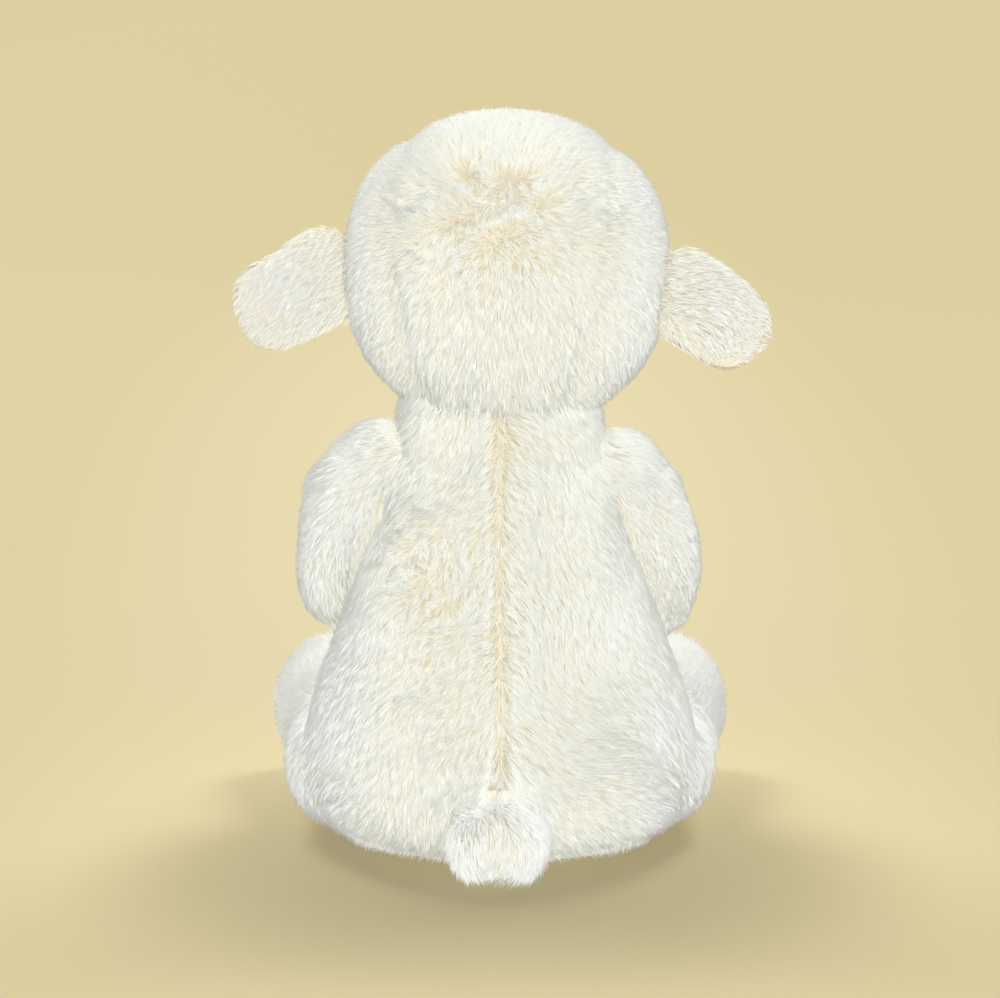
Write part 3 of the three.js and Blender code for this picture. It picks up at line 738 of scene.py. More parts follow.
def pile_tree():
    """Strands of pile over one panel: bent, laid over and drawn together into tufts."""
    t, given = new_tree(
        "Pile", "GeometryNodeTree",
        (
            ("Skin", GEOMETRY), ("Panel", WHOLE, 1), ("Strands", NUMBER, 1000000.0),
            ("Tufts", NUMBER, 40000.0), ("Half width", NUMBER, 0.0004), ("Reach", NUMBER, 0.009),
            ("Lift", NUMBER, 0.006), ("Pull", NUMBER, 0.5), ("Stray", NUMBER, 0.3),
            ("Floor", NUMBER, 0.0004), ("Seed", WHOLE, 1), ("Material", MATERIAL),
        ),
        (("Pile", GEOMETRY),),
    )
    seeds = [t.plus(given["Seed"], float(k)) for k in range(1, 9)]
    matted = t.noted("matted")
    on_panel = t.out(
        "FunctionNodeCompare", {2: t.noted("panel", "INT"), 3: given["Panel"]},
        data_type="INT", operation="EQUAL",
    )

    def scatter(density, seed):
        inputs = {"Mesh": given["Skin"], "Selection": on_panel, "Density": density, "Seed": seed}
        return t.node("GeometryNodeDistributePointsOnFaces", inputs).outputs

    strands = scatter(t.times(given["Strands"], t.noted("thick")), given["Seed"])
    tufts = scatter(given["Tufts"], seeds[0])[0]
    spot = t.position()
    nearest = t.out("GeometryNodeSampleNearest", {"Geometry": tufts, "Sample Position": spot})
    tuft = t.out(
        "GeometryNodeSampleIndex", {"Geometry": tufts, "Value": spot, "Index": nearest},
        data_type="FLOAT_VECTOR",
    )
    pull = t.scaled(t.vectors("SUBTRACT", tuft, spot), t.times_plus(matted, 0.35, given["Pull"]))

    # Each tuft leans its own way, and each strand strays a little from its tuft
    stray = t.times(given["Stray"], t.times_plus(matted, 3.6, 1.0))
    astray = t.scaled(t.chance_way(seeds[1], ID=nearest), stray)
    lean = t.vectors("ADD", t.noted("comb", "FLOAT_VECTOR"), astray)
    lean = t.vectors("ADD", lean, t.scaled(t.chance_way(seeds[2]), t.times(stray, 0.6)))
    turn = t.out(
        "FunctionNodeAxesToRotation", {"Primary Axis": strands["Normal"], "Secondary Axis": lean},
        primary_axis="Z", secondary_axis="Y",
    )
    length = t.times(t.chance(0.93, 1.06, seeds[3], ID=nearest), t.chance(0.86, 1.06, seeds[4]))
    share = t.times(t.noted("length"), t.times_plus(matted, -0.35, 1.0))
    reach = t.times(t.times(given["Reach"], share), length)
    lift = t.times(t.times(given["Lift"], t.noted("lift")), length)
    width = t.times(given["Half width"], t.chance(0.75, 1.25, seeds[5]))
    tone = t.plus(t.noted("tone"), t.chance(-0.1, 0.1, seeds[6]))
    tone = t.plus(tone, t.chance(-0.07, 0.07, seeds[7], ID=nearest))
    specks = t.power(t.chance(0.0, 1.0, seeds[0], ID=nearest), 3.0)
    tone = t.times_plus(t.times(specks, matted), -0.5, tone)
    points = t.store(strands["Points"], "pull", pull, "FLOAT_VECTOR")
    points = t.store(points, "strand_tone", tone)

    # One strand: a three-sided spike with a knee, one metre of reach and of lift
    spike = t.out(
        "GeometryNodeMeshCone",
        {
            "Vertices": 3, "Side Segments": 2, "Fill Segments": 1,
            "Radius Top": 0.0, "Radius Bottom": 1.0, "Depth": 1.0,
        },
        fill_type="NGON",
    )
    x, y, rise = t.split(t.position())
    full = t.times_plus(rise, 1.2, 1.0)
    lying, standing = t.power(rise, 1.4), t.power(rise, 0.55)  # steep at first, then lying over
    shape = t.combine(t.times(y, full), lying, t.times_plus(t.times(x, full), 0.06, standing))
    spike = t.store(t.store(spike, "rise", rise), "rim", y)
    spike = t.move(spike, "Position", shape)

    size = t.combine(width, reach, lift)
    grown = t.out(
        "GeometryNodeInstanceOnPoints",
        {"Points": points, "Instance": spike, "Rotation": turn, "Scale": size},
    )
    grown = t.out("GeometryNodeRealizeInstances", {"Geometry": grown})
    rise, rim = t.noted("rise"), t.noted("rim")
    drawn = t.scaled(t.noted("pull", "FLOAT_VECTOR"), t.power(rise, 1.5))
    grown = t.move(grown, "Offset", drawn)
    x, y, z = t.split(t.position())
    grown = t.move(grown, "Position", t.combine(x, y, t.most(z, given["Floor"])))
    # The map runs from root to tip one way and over the tones the other way
    tone = t.out("ShaderNodeClamp", {"Value": t.noted("strand_tone"), "Min": 0.02, "Max": 0.98})
    spot = t.combine(
        t.times_plus(rim, 0.01, t.times_plus(rise, 0.96, 0.02)),
        t.times_plus(rim, 0.006, t.times_plus(rise, -0.006, tone)),
        0.0,
    )
    return t.finish(t.store(grown, "OFBake", spot, "FLOAT2", "CORNER"), given["Material"])


def stitch_tree():
    """Threads laid along lines: each one swells between its ends, where it dips into the cloth."""
    t, given = new_tree(
        "Stitches", "GeometryNodeTree",
        (
            ("Lines", GEOMETRY), ("Half width", NUMBER, 0.0005), ("Unevenness", NUMBER, 0.08),
            ("Sides", WHOLE, 8), ("Seed", WHOLE, 1), ("Material", MATERIAL),
        ),
        (("Threads", GEOMETRY),),
    )
    lines = t.out("GeometryNodeMeshToCurve", {"Mesh": given["Lines"]})
    run = t.node("GeometryNodeSplineParameter").outputs["Factor"]
    line = t.node("GeometryNodeCurveOfPoint").outputs["Curve Index"]
    swell = t.most(t.sine(t.times(run, math.pi)), 0.0)
    swell = t.times_plus(t.power(swell, 0.4), 0.5, 0.5)
    uneven = t.times_plus(t.chance(-1.0, 1.0, given["Seed"], ID=line), given["Unevenness"], 1.0)
    radius = t.times(t.times(given["Half width"], swell), uneven)
    lines = t.out("GeometryNodeSetCurveRadius", {"Curve": lines, "Radius": radius})
    section = t.out(
        "GeometryNodeCurvePrimitiveCircle", {"Resolution": given["Sides"], "Radius": 1.0}
    )
    threads = t.node(
        "GeometryNodeCurveToMesh", {"Curve": lines, "Profile Curve": section, "Fill Caps": True}
    )
    if "Scale" in threads.inputs:
        t.feed(threads, "Scale", t.out("GeometryNodeInputRadius"))
    threads = t.out("GeometryNodeRealizeInstances", {"Geometry": threads.outputs[0]})
    return t.finish(threads, given["Material"])


def made_by(tree, name, base, values):
    """The plain mesh that a tree makes on base, as a piece of its own."""
    modifier = base.modifiers.new(name, "NODES")
    modifier.node_group = tree
    for item in tree.interface.items_tree:
        if item.item_type == "SOCKET" and item.in_out == "INPUT" and item.name in values:
            modifier[item.identifier] = values[item.name]
    mesh = mesh_made(base)
    base.modifiers.remove(modifier)
    mesh.name = name
    for spare in SPARE_ATTRIBUTES:
        if spare in mesh.attributes:
            mesh.attributes.remove(mesh.attributes[spare])
    if not mesh.polygons:
        raise RuntimeError(f"{name} came out empty")
    return link(name, mesh)


# Materials


def new_material(name, rough, **sockets):
    """A material's tree and its one Principled shader."""
    material = bpy.data.materials.new(name)
    material.use_nodes = True
    shader = material.node_tree.nodes["Principled BSDF"]
    shader.inputs["Roughness"].default_value = rough
    for socket, value in sockets.items():
        shader.inputs[socket.replace("_", " ")].default_value = value
    return Tree(material.node_tree), shader


def tint(name):
    return (*getattr(colours(), name), 1)


def nap_group():
    """Short nap: painted shade in the nap's hollows, spread in soft clouds, and a fine height, for
    velour and plain cloth.
    """
    t, given = new_tree(
        "Nap", "ShaderNodeTree",
        (
            ("Colour", COLOUR, (1, 1, 1, 1)), ("Hollow", COLOUR, (0.8, 0.7, 0.6, 1)),
            ("Grain", NUMBER, 1800.0), ("Clouds", NUMBER, 60.0), ("Depth", NUMBER, 0.3),
        ),
        (("Colour", COLOUR), ("Height", NUMBER)),
    )
    where = t.where()
    fine, slow = t.noise(where, given["Grain"], 3.0), t.noise(where, given["Clouds"], 2.0)
    # Painted shade in the nap's hollows, deeper where the fine noise is low
    hollow_shade = t.times(given["Depth"], t.less(1.0, fine))
    hollow_shade = t.times(hollow_shade, t.times_plus(slow, 1.2, 0.4))
    shaded = t.mix(hollow_shade, given["Colour"], given["Hollow"])
    t.node("NodeGroupOutput", {"Colour": shaded, "Height": fine})


def weave_group():
    """Plain weave or knit: the height of two sets of crossing threads."""
    t, given = new_tree(
        "Weave", "ShaderNodeTree", (("Pitch", NUMBER, 900.0), ("Wobble", NUMBER, 0.3)),
        (("Height", NUMBER),),
    )
    where = t.where()
    stir = t.scaled(t.noise(where, 90.0, 2.0, 1), t.times(given["Wobble"], 0.004))
    x, y, z = t.split(t.scaled(t.vectors("ADD", where, stir), given["Pitch"]))
    one = t.sine(t.plus(x, z))
    other = t.sine(t.less(t.plus(y, x), z))
    t.node("NodeGroupOutput", {"Height": t.times_plus(t.times(one, other), 0.5, 0.5)})


def pile_material(name):
    """Strand colour from the strand's own map: root to tip one way, tan to white the other way."""
    t, shader = new_material(name, 0.8, Sheen_Weight=0.25, Sheen_Roughness=0.5)
    c = colours()
    root, tan, warm, cool = c.root[:], c.tan[:], c.warm[:], c.cool[:]
    run, tone, _ = t.split(t.out("ShaderNodeUVMap", uv_map="OFBake"))
    # The roots are painted darker than the tips: painted shade deep in the pile. Low tones are tan,
    # the seams' and matted patches' own colour, and painted shade in creases
    tips = t.ramp(tone, (0.0, tan), (0.3, warm), (0.62, warm), (0.95, cool))
    roots = t.ramp(tone, (0.0, root), (0.3, tan), (0.8, tan), (0.95, warm))
    t.feed(shader, "Base Color", t.mix(t.ranged(run, 0.1, 0.65), roots, tips))


def backing_material(name):
    t, shader = new_material(name, 0.9)
    knit = t.group("Weave", Pitch=4200.0)["Height"]
    nap = t.group("Nap", Colour=tint("backing"), Hollow=tint("crevice"))["Colour"]
    # Painted shade of the knit's hollows, mixed in by the knit's height
    t.feed(shader, "Base Color", t.mix(t.times(knit, 0.25), nap, tint("crevice")))
    t.bump(shader, knit, 0.0004, 0.6)


def cloth_material(name, face, hollow_shade, grain, depth, sheen, strength):
    """Short-pile cloth: velour, or the brushed cloth of the linings and soles."""
    t, shader = new_material(name, 0.85, Sheen_Weight=sheen, Sheen_Roughness=0.4)
    nap = t.group("Nap", Colour=tint(face), Hollow=tint(hollow_shade), Grain=grain, Depth=depth)
    t.feed(shader, "Base Color", nap["Colour"])
    t.bump(shader, nap["Height"], 0.0006, strength)


def bag_material(name):
    t, shader = new_material(name, 0.8)
    weave = t.group("Weave", Pitch=5200.0, Wobble=0.1)["Height"]
    # Painted shade in the hollows of the weave
    t.feed(shader, "Base Color", t.mix(weave, tint("bag"), tint("crevice")))
    t.bump(shader, weave, 0.0003, 0.7)


def thread_material(name):
    t, shader = new_material(name, 0.42, Sheen_Weight=0.3)
    ply = t.node(
        "ShaderNodeTexWave", {"Vector": t.where(), "Scale": 900.0, "Distortion": 2.0},
        bands_direction="DIAGONAL",
    ).outputs[1]
    # Painted shade between the thread's plies
    t.feed(shader, "Base Color", t.mix(t.times(ply, 0.4), tint("thread"), tint("thread_dark")))
    t.bump(shader, ply, 0.0001, 0.4)


def moulded(name, rough, scale, detail, stops, uneven, least, **sockets):
    """Moulded plastic: cloudy in its colour and its gloss, which is uneven on top of its least."""
    t, shader = new_material(name, rough, **sockets)
    cloud = t.noise(t.where(), scale, detail)
    t.feed(shader, "Base Color", t.ramp(cloud, *stops))
    t.feed(shader, "Roughness", t.times_plus(cloud, uneven, least))
    return t, shader, cloud


def eye_material(name):
    stops = (0.3, colours().eye[:]), (0.75, colours().eye_warm[:])
    moulded(name, 0.12, 260.0, 3.0, stops, 0.08, 0.08, Coat_Weight=1.0, Coat_Roughness=0.04)


def washer_material(name):
    stops = (0.3, shade(222, 222, 216)), (0.7, shade(236, 236, 232))
    t, shader, cloud = moulded(name, 0.5, 420.0, 4.0, stops, 0.3, 0.35)
    t.bump(shader, cloud, 0.0001, 0.3)


MATERIALS = {
    "Wool pile": (pile_material,),
    "Knitted backing": (backing_material,),
    # The velour's hollows take the tan colour as painted shade, the lining's hollows the lining's
    # shade colour
    "Face velour": (cloth_material, "velour", "tan", 2600.0, 0.35, 0.4, 0.5),
    "Brushed lining": (cloth_material, "lining", "lining_dark", 2200.0, 0.5, 0.35, 0.5),
    "Pellet bag cloth": (bag_material,),
    "Satin thread": (thread_material,),
    "Moulded eye": (eye_material,),
    "Moulded washer": (washer_material,),
}


def finish_of(name):
    """One of the lamb's materials, made when it is first asked for."""
    if "Nap" not in bpy.data.node_groups:
        nap_group()
        weave_group()
    if name not in bpy.data.materials:
        make, *values = MATERIALS[name]
        make(name, *values)
    return bpy.data.materials[name]


def dress(piece, finish, body, nodes):
    """Gives a piece its material, the body that it rides on and the nodes that it stands for."""
    if finish:
        piece.data.materials.clear()
        piece.data.materials.append(finish_of(finish))
    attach(piece, body)
    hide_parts(*nodes)


# What a user would change


LENGTH, ANGLE, FACTOR = {"unit": "LENGTH"}, {"subtype": "ANGLE"}, {"subtype": "FACTOR"}


class LambSizes(bpy.types.PropertyGroup):
    """Sizes that a user would change."""

    __annotations__ = {
        key: (IntProperty if isinstance(value, int) else FloatProperty)(
            name=name, description=about, default=value, **kind
        )
        for key, name, about, value, kind in (
            ("depth", "Backing depth", "How far the backing lies under the pile", 0.004, LENGTH),
            ("reach", "Strand reach", "How far a strand lies over along the cloth", 0.0105, LENGTH),
            ("lift", "Strand lift", "How high a strand's tip stands off the cloth", 0.0055, LENGTH),
            ("strand", "Strand half width", "Half a strand's width at its root", 0.00023, LENGTH),
            ("strands", "Strands", "Strands on a square metre", 1300000.0, {}),
            ("tufts", "Tufts", "Tufts on a square metre", 200000.0, {}),
            ("pull", "Tuft pull", "How far strand tips draw together", 0.2, FACTOR),
            ("stray", "Stray", "How far strands stray from the way they are combed", 0.14, FACTOR),
            ("seam", "Seam dent", "How deep a seam pulls the cloth in", 0.003, LENGTH),
            ("pressure", "Filling pressure", "How hard the filling presses outwards", 1000.0, {}),
            ("stretch", "Cloth stiffness", "How hard the cloth holds against the filling", 3.0, {}),
            ("mass", "Cloth mass", "Kilograms at each point while it's stuffed", 0.001, {}),
            ("swell", "Swell", "How far the filling may push the cloth out", 0.0022, LENGTH),
            ("thread", "Thread half width", "Half the width of a satin stitch", 0.00048, LENGTH),
            ("seed", "Seed", "Picks another fall of the pile", 11, {}),
            ("camera_rise", "Camera elevation", "How far it looks down", math.radians(12), ANGLE),
            ("camera_way", "Camera distance", "From the point it looks at", 1.6, LENGTH),
            ("lens", "Lens", "Focal length in millimetres on a 36 mm sensor", 144.0, {}),
        )
    }


class LambColours(bpy.types.PropertyGroup):
    """Colours that a user would change."""

    __annotations__ = {
        key: FloatVectorProperty(
            name=name, description=about, default=shade(*levels), subtype="COLOR"
        )
        for key, name, about, levels in (
            # Pile root is painted shade deep in the pile as well as the seams' tan, and tan is also
            # painted shade in creases and in the velour's hollows
            ("root", "Pile root", "Deep in the pile at a seam", (232, 218, 188)),
            ("tan", "Pile tan", "Matted patches and seams", (245, 241, 224)),
            ("warm", "Pile ivory", "Most of the pile", (250, 252, 246)),
            ("cool", "Pile white", "Pile at the flanks", (249, 251, 250)),
            ("backing", "Backing", "Cloth under the pile", (244, 236, 216)),
            # Backing shade, lining shade and thread shade are painted shade: in the hollows of the
            # knit and the bag's weave, of the lining's nap, and between the thread's plies
            ("crevice", "Backing shade", "Hollows of the backing's knit", (226, 208, 174)),
            ("velour", "Velour", "Short pile of the face", (228, 220, 202)),
            ("lining", "Lining", "Ear linings and soles", (222, 203, 178)),
            ("lining_dark", "Lining shade", "Hollows of the lining's nap", (190, 164, 138)),
            ("thread", "Thread", "Nose and mouth", (196, 142, 128)),
            ("thread_dark", "Thread shade", "Between the thread's plies", (160, 104, 92)),
            ("eye", "Eye", "Moulded eyes", (16, 12, 11)),
            ("eye_warm", "Eye, warm", "Brown depth in the eyes", (38, 24, 18)),
            ("bag", "Bag", "Pellet bag", (235, 230, 216)),
            ("floor", "Backdrop", "Floor and backdrop by the lamb", (232, 219, 177)),
            ("floor_far", "Backdrop edge", "Floor and backdrop far out", (220, 206, 159)),
        )
    }


# The stage


def paper_material(way):
    """Backdrop paper for a camera that looks against way, shaded by its place on the floor."""
    t, shader = new_material("Backdrop paper", 0.95, Specular_IOR_Level=0.1)
    # Its colour pales towards the line of sight through the lamb, a painted pool of light
    off = t.vectors("SUBTRACT", t.where(), tuple(AIM))
    far = t.long(t.vectors("CROSS_PRODUCT", off, tuple(way)))
    c = colours()
    paint = t.ramp(t.times(far, 3.6), (0.25, c.floor[:]), (0.95, c.floor_far[:]))
    direct = t.direct()
    # Far from the lamb the backdrop glows with its own painted colour, though it is no lamp,
    # whatever light reaches it
    away = t.ranged(t.long(t.vectors("MULTIPLY", t.where(), (1.0, 1.0, 0.0))), 0.14, 0.36)
    plain = t.times(away, direct)
    # The lamps stand nearer to the floor in front, so the floor is painted darker there, painted
    # shade that evens out their light
    paper = t.ranged(t.split(t.where())["Y"], -0.4, 0.12, 0.84, 1.1, "LINEAR")
    # and painted darker round the lamb's seat, a painted shadow where the lamb keeps the room's
    # light off it
    beside = t.vectors("MULTIPLY", t.where(), (1.05, 0.95, 0.0))
    beside = t.long(t.vectors("SUBTRACT", beside, (0.0, 0.038, 0.0)))
    grey = t.grey(t.times(paper, t.ranged(beside, 0.06, 0.2, 0.7, 1.0)))
    lit = t.mix(direct, (*shade(236, 233, 226), 1), t.mix(1.0, paint, grey, "MULTIPLY"))
    t.feed(shader, "Base Color", t.mix(plain, lit, BLACK))
    # Painted light: the floor by the lamb glows, though it is no lamp, for rays that only bounce,
    # and gives light from below, which only the lamb's underside catches
    glow = t.times(t.times(t.less(1.0, away), t.less(1.0, direct)), FLOOR_GLOW)
    t.feed(shader, "Emission Color", t.mix(plain, t.grey(glow), paint))
    shader.inputs["Emission Strength"].default_value = 1.0
    return bpy.data.materials["Backdrop paper"]


class LAMB_OT_stage(bpy.types.Operator):
    """Adds the camera, the seamless floor and the lamps"""

    bl_idname = "lamb.stage"
    bl_label = "Stage"

    def execute(self, context):
        s, scene = sizes(), context.scene
        way = Vector((0, math.cos(s.camera_rise), math.sin(s.camera_rise)))
        lens = bpy.data.cameras.new("Camera")
        lens.lens, lens.sensor_width, lens.clip_start = s.lens, 36.0, 0.05
        camera = link("Camera", lens)
        camera.location = AIM + way * s.camera_way
        camera.rotation_euler = way.to_track_quat("Z", "Y").to_euler()
        scene.camera = camera

        # A sheet that runs from behind the camera, past the lamb and up
        profile = [(SHEET_FRONT, 0.0), (0.4, 0.0), (-0.4, 0.0)]
        bend = SHEET_BEND
        for a in np.linspace(0, math.pi / 2, 16):
            profile.append((SHEET_BACK - bend * math.sin(a), bend - bend * math.cos(a)))
        profile.append((SHEET_BACK - bend, SHEET_TOP))
        points = [(x, y, z) for y, z in profile for x in (-SHEET_HALF_WIDTH, SHEET_HALF_WIDTH)]
        faces = [(2 * k, 2 * k + 1, 2 * k + 3, 2 * k + 2) for k in range(len(profile) - 1)]
        floor = mesh_piece("backdrop", np.array(points) / MM, faces)
        if floor.data.polygons[0].normal.z < 0:
            floor.data.flip_normals()
        floor.data.materials.append(paper_material(way))

        # A white world lights the lamb, and what looks past the sheet sees the sheet's colour
        world = bpy.data.worlds.new("Studio")
        world.use_nodes = True
        t, light = Tree(world.node_tree), world.node_tree.nodes["Background"]
        direct = t.direct()
        t.feed(light, "Color", t.mix(direct, (*shade(252, 252, 252), 1), tint("floor_far")))
        t.feed(light, "Strength", t.times_plus(direct, 1 - ROOM_LIGHT, ROOM_LIGHT))
        scene.world = world
        for name, spot, size, power, shadow in LAMPS:
            lamp = bpy.data.lights.new(name, "AREA")
            lamp.shape, lamp.size, lamp.energy, lamp.use_shadow = "DISK", size, power, shadow
            piece = link(name, lamp)
            piece.location = spot
            piece.rotation_euler = (Vector(spot) - LAMP_AIM).to_track_quat("Z", "Y").to_euler()
        return {"FINISHED"}


# The stuffed parts, all in millimetres. Each pair of numbers in a step is where it begins and ends,
# the number in a bump or a patch is how wide it is, and all of them share out depth, pile and tone.


class LAMB_OT_body(bpy.types.Operator):
    """Makes the stuffed body with its seat and haunches"""

    bl_idname = "lamb.body"
    bl_label = "Body"

    def execute(self, context):
        s = sizes()
        depth, seam = s.depth / MM, s.seam / MM
        parts = [torso_form(-depth, BODY_CLEAR)]
        for side, rise in SWELL_HEIGHTS:
            swell = np.array((side * SWELL_OUT, torso_middle(rise), rise))
            parts.append(ball(HAUNCH * (side, 1, 1), HAUNCH_RADIUS - depth))
            parts.append(ball(swell, SWELL_SIZE))
        skin = fused("skin_body", parts, voxel=2.6, softening=6)
        x, y, z = points_of(skin).T
        held = np.maximum(bump(x, 5) * step(y, 0, 10), bump(z - SEAT_SEAM, 5))
        ends = np.maximum(step(z, 158, 168), step(-z, -9, -5))
        held = np.maximum(held * step(-z, -172, -160), ends)
        stuffed(skin, np.maximum(held, 0.7 * bump(y + BELLY_FORWARD, 5)))
        p, n, x, y, z = surface_of(skin)
        tall = step(z, 8, 16) * step(-z, -180, -168)
        dip = 0.9 * bump(x - parting(z), 3.0) * step(y, 4, 14) * tall
        dip += 0.5 * bump(y + BELLY_FORWARD, 3) * tall
        dip += 0.25 * bump(z - SEAT_SEAM, 3)
        place_points(skin, on_floor(p - n * (dip * seam)[:, None], BODY_CLEAR))

        p, n, x, y, z = surface_of(skin)
        x = x - parting(z)
        side = np.sign(x)
        out = np.hypot(x, y - torso_middle(np.minimum(z, NECK_HEIGHT)))
        # Where the surface is, from 0 to 1
        behind, high_behind = step(y, 4, 14), step(y, 10, 30)
        near = bump(x, 8) * step(y, -5, 10)
        hidden = step(z, 166, 169) * step(-out, -33, -28)
        neck, rim = step(z, 160, 172), step(z, 158, 168)
        armpit = bump(z - 160, 14) * step(np.abs(x), 34, 48)
        low = step(-n[:, 2], 0.55, 0.9) * step(-z, -12, -4)
        base = step(-z, -20, -8) * (1 - low)
        dock = patch(x, 22, z - 46, 8) * high_behind
        # The pile sweeps across and up low down on the lamb's right
        sweep = patch(x + 38, 20, z - 48, 17) * high_behind
        ways = np.stack([side * (0.22 + 1.1 * near) + x / 160, 0 * x, -1 + 0.2 * near], 1)
        ways += np.stack([-1.5 * sweep + 1.1 * side * armpit, 0 * x, 0.9 * sweep], 1)
        ways[:, :2] += (0.5 * rim / np.maximum(out, 10))[:, None] * p[:, :2]
        matted = patch(x - 25, 16, z - 116, 30) * step(y, 5, 20)
        matted += 0.35 * patch(x - 22, 14, z - 60, 24) * step(y, 5, 20)
        broken = 0.55 + 0.5 * np.sin(z / 4.3) * np.sin(z / 11 + 1) + 0.35 * np.sin(z / 29)
        broken = np.clip(broken, 0.1, 1)
        seams = 0.85 * broken * bump(x, 1.9) * behind * (1 - bump(z - 47, 9))
        seams += 0.6 * bump(z - SEAT_SEAM, 4) * step(y, -10, 10)
        # Painted light: the pile is painted whiter and cooler at the flanks than in the middle, the
        # way the light falls there
        tone = 0.62 + 0.3 * step(np.abs(x), 30, 66) - 0.45 * seams - 0.24 * matted
        # Painted shade: the pile is painted darker and tan in the crease over the right haunch and
        # under the head, where shade falls
        tone -= 0.4 * patch(x + 63, 6, z - 80, 9)
        tone -= 0.08 * bump(z - 172, 7) + 0.35 * bump(z - 173, 6) * bump(x + 8, 18) * high_behind
        length = 1 - 0.45 * low - 0.3 * seams - 0.1 * base + 0.5 * dock
        lift = 1 - 0.8 * low - 0.2 * seams - 0.2 * base + 0.1 * neck - 0.2 * rim
        lift = lift + 0.6 * dock + 0.3 * armpit * (1 - rim)
        thick = np.clip(0.91 - 0.5 * low - hidden, 0, 1) * (1 - 0.55 * step(-y, 0, 12))
        centres = centres_of(skin)
        backs = np.where(centres[:, 0] > 0, BACK_LEFT, BACK_RIGHT)
        panels = np.where(centres[:, 1] < -BELLY_FORWARD, BELLY, backs)
        panels[centres[:, 2] < SEAT_SEAM] = SEAT
        coat(
            skin, ways, panels, s.seed, tone, matted=np.clip(matted, 0, 1), thick=thick,
            length=length, lift=lift,
        )
        dress(
            skin, "Knitted backing", "torso",
            ("back_panel_left", "back_panel_right", "belly_panel", "seat_panel", "body_filling"),
        )
        return {"FINISHED"}


class LAMB_OT_head(bpy.types.Operator):
    """Makes the stuffed head with its gusset and cheeks, and the velour face with the muzzle"""

    bl_idname = "lamb.head"
    bl_label = "Head and face"

    def execute(self, context):
        s = sizes()
        depth, seam = s.depth / MM, s.seam / MM

        def from_seam(x, rise):
            """How far outside the gusset's seams a place lies."""
            return np.abs(x) - gusset_half_width(rise - HEAD_MIDDLE[2])

        def block(name, grow, **melting):
            muzzle = ball(MUZZLE_MIDDLE, MUZZLE_SIZE + grow)
            return fused(name, [head_form(grow), muzzle], **melting)

        skin = block("skin_head", -depth, voxel=2.4, softening=5)
        x, y, z = points_of(skin).T
        held = np.maximum(bump(from_seam(x, z), 5) * step(y, -42, -34), bump(y - FACE_SEAM, 5))
        stuffed(skin, np.maximum(held, step(-y, 44, 50)))
        p, n, x, y, z = surface_of(skin)
        dip = 0.55 * bump(from_seam(x, z), 4.2) * step(y, -42, -34) + 0.5 * bump(y - FACE_SEAM, 3)
        corner = 0.3 * bump(np.abs(x) - 30, 13) * step(z - HEAD_MIDDLE[2], 34, 54)
        under_face = 2.5 * step(-y, 46, 52)
        p = p - n * (dip * seam + corner + under_face)[:, None]
        place_points(skin, off_ball(p, np.zeros(3), NECK_RADIUS - 1.0))

        p, n, x, y, z = surface_of(skin)
        rise, edge = z - HEAD_MIDDLE[2], from_seam(x, z)
        # The pile parts at a matted whorl high on the back of the head
        ways = p - WHORL
        ways /= np.maximum(np.linalg.norm(ways, axis=1), 22)[:, None]
        ways[:, 2] -= 0.4 * step(y, 0, 30) * (1 - step(rise, 10, 34))
        matted = patch(x - WHORL[0], 27, z - WHORL[2], 20) * step(y, 0, 20)
        seams = bump(edge, 3.2) * step(y, -42, -34) * step(-rise, -52, -20)
        smooth, top, jaw = step(edge, -2, 6), step(rise, 30, 52), step(-rise, 40, 56)
        # Painted light: the pile is painted whiter and cooler at the head's sides, the way the
        # light falls there
        tone = 0.64 + 0.26 * step(np.abs(x), 34, 56) - 0.3 * seams - 0.22 * matted
        # Painted shade: darker low on the head, where it sits on the neck
        tone = tone - 0.15 * bump(z - 12, 8)
        length = 1 - 0.25 * smooth - 0.12 * seams - 0.1 * top
        lift = 1 - 0.15 * smooth - 0.1 * seams - 0.25 * top + 0.5 * jaw
        centres = centres_of(skin)
        gusset = from_seam(centres[:, 0], centres[:, 2]) < 0
        panels = np.where(gusset, GUSSET, np.where(centres[:, 0] > 0, CHEEK_LEFT, CHEEK_RIGHT))
        panels[centres[:, 1] < FACE_SEAM] = BARE
        panels[np.linalg.norm(centres, axis=1) < NECK_RADIUS + 0.5] = BARE
        coat(
            skin, ways, panels, s.seed + 20, tone, swirl=0.22, matted=np.clip(matted, 0, 1),
            thick=0.93 - 0.05 * top, length=length, lift=lift,
        )
        carry_from_head(skin, p)
        dress(
            skin, "Knitted backing", "head",
            ("head_gusset", "head_side_left", "head_side_right", "head_filling"),
        )

        def sockets(x, z):
            """1 at each eye, falling to nothing around it."""
            rise = z - HEAD_MIDDLE[2] - EYE_RISE
            return sum(bump(np.hypot(x - side * EYE_SPREAD, rise), 7) for side, _ in LEFT_RIGHT)

        face = block("face", -0.2, voxel=1.8, softening=7)
        half_cut(face, (0, FACE_SEAM + 1.5, 0), (0, -1, 0))
        x, y, z = points_of(face).T
        rim = step(y, FACE_SEAM - 6, FACE_SEAM + 1)
        stuffed(face, np.maximum(np.clip(sockets(x, z), 0, 1), rim))
        p, n, x, y, z = surface_of(face)
        dip = 1.6 * bump(y - FACE_SEAM, 4) + 1.5 * sockets(x, z) * step(-y, 30, 45)
        place_points(face, off_ball(p - n * dip[:, None], np.zeros(3), NECK_RADIUS + 1))
        carry_from_head(face, points_of(face))
        dress(face, "Face velour", "head", ("face_panel",))
        return {"FINISHED"}


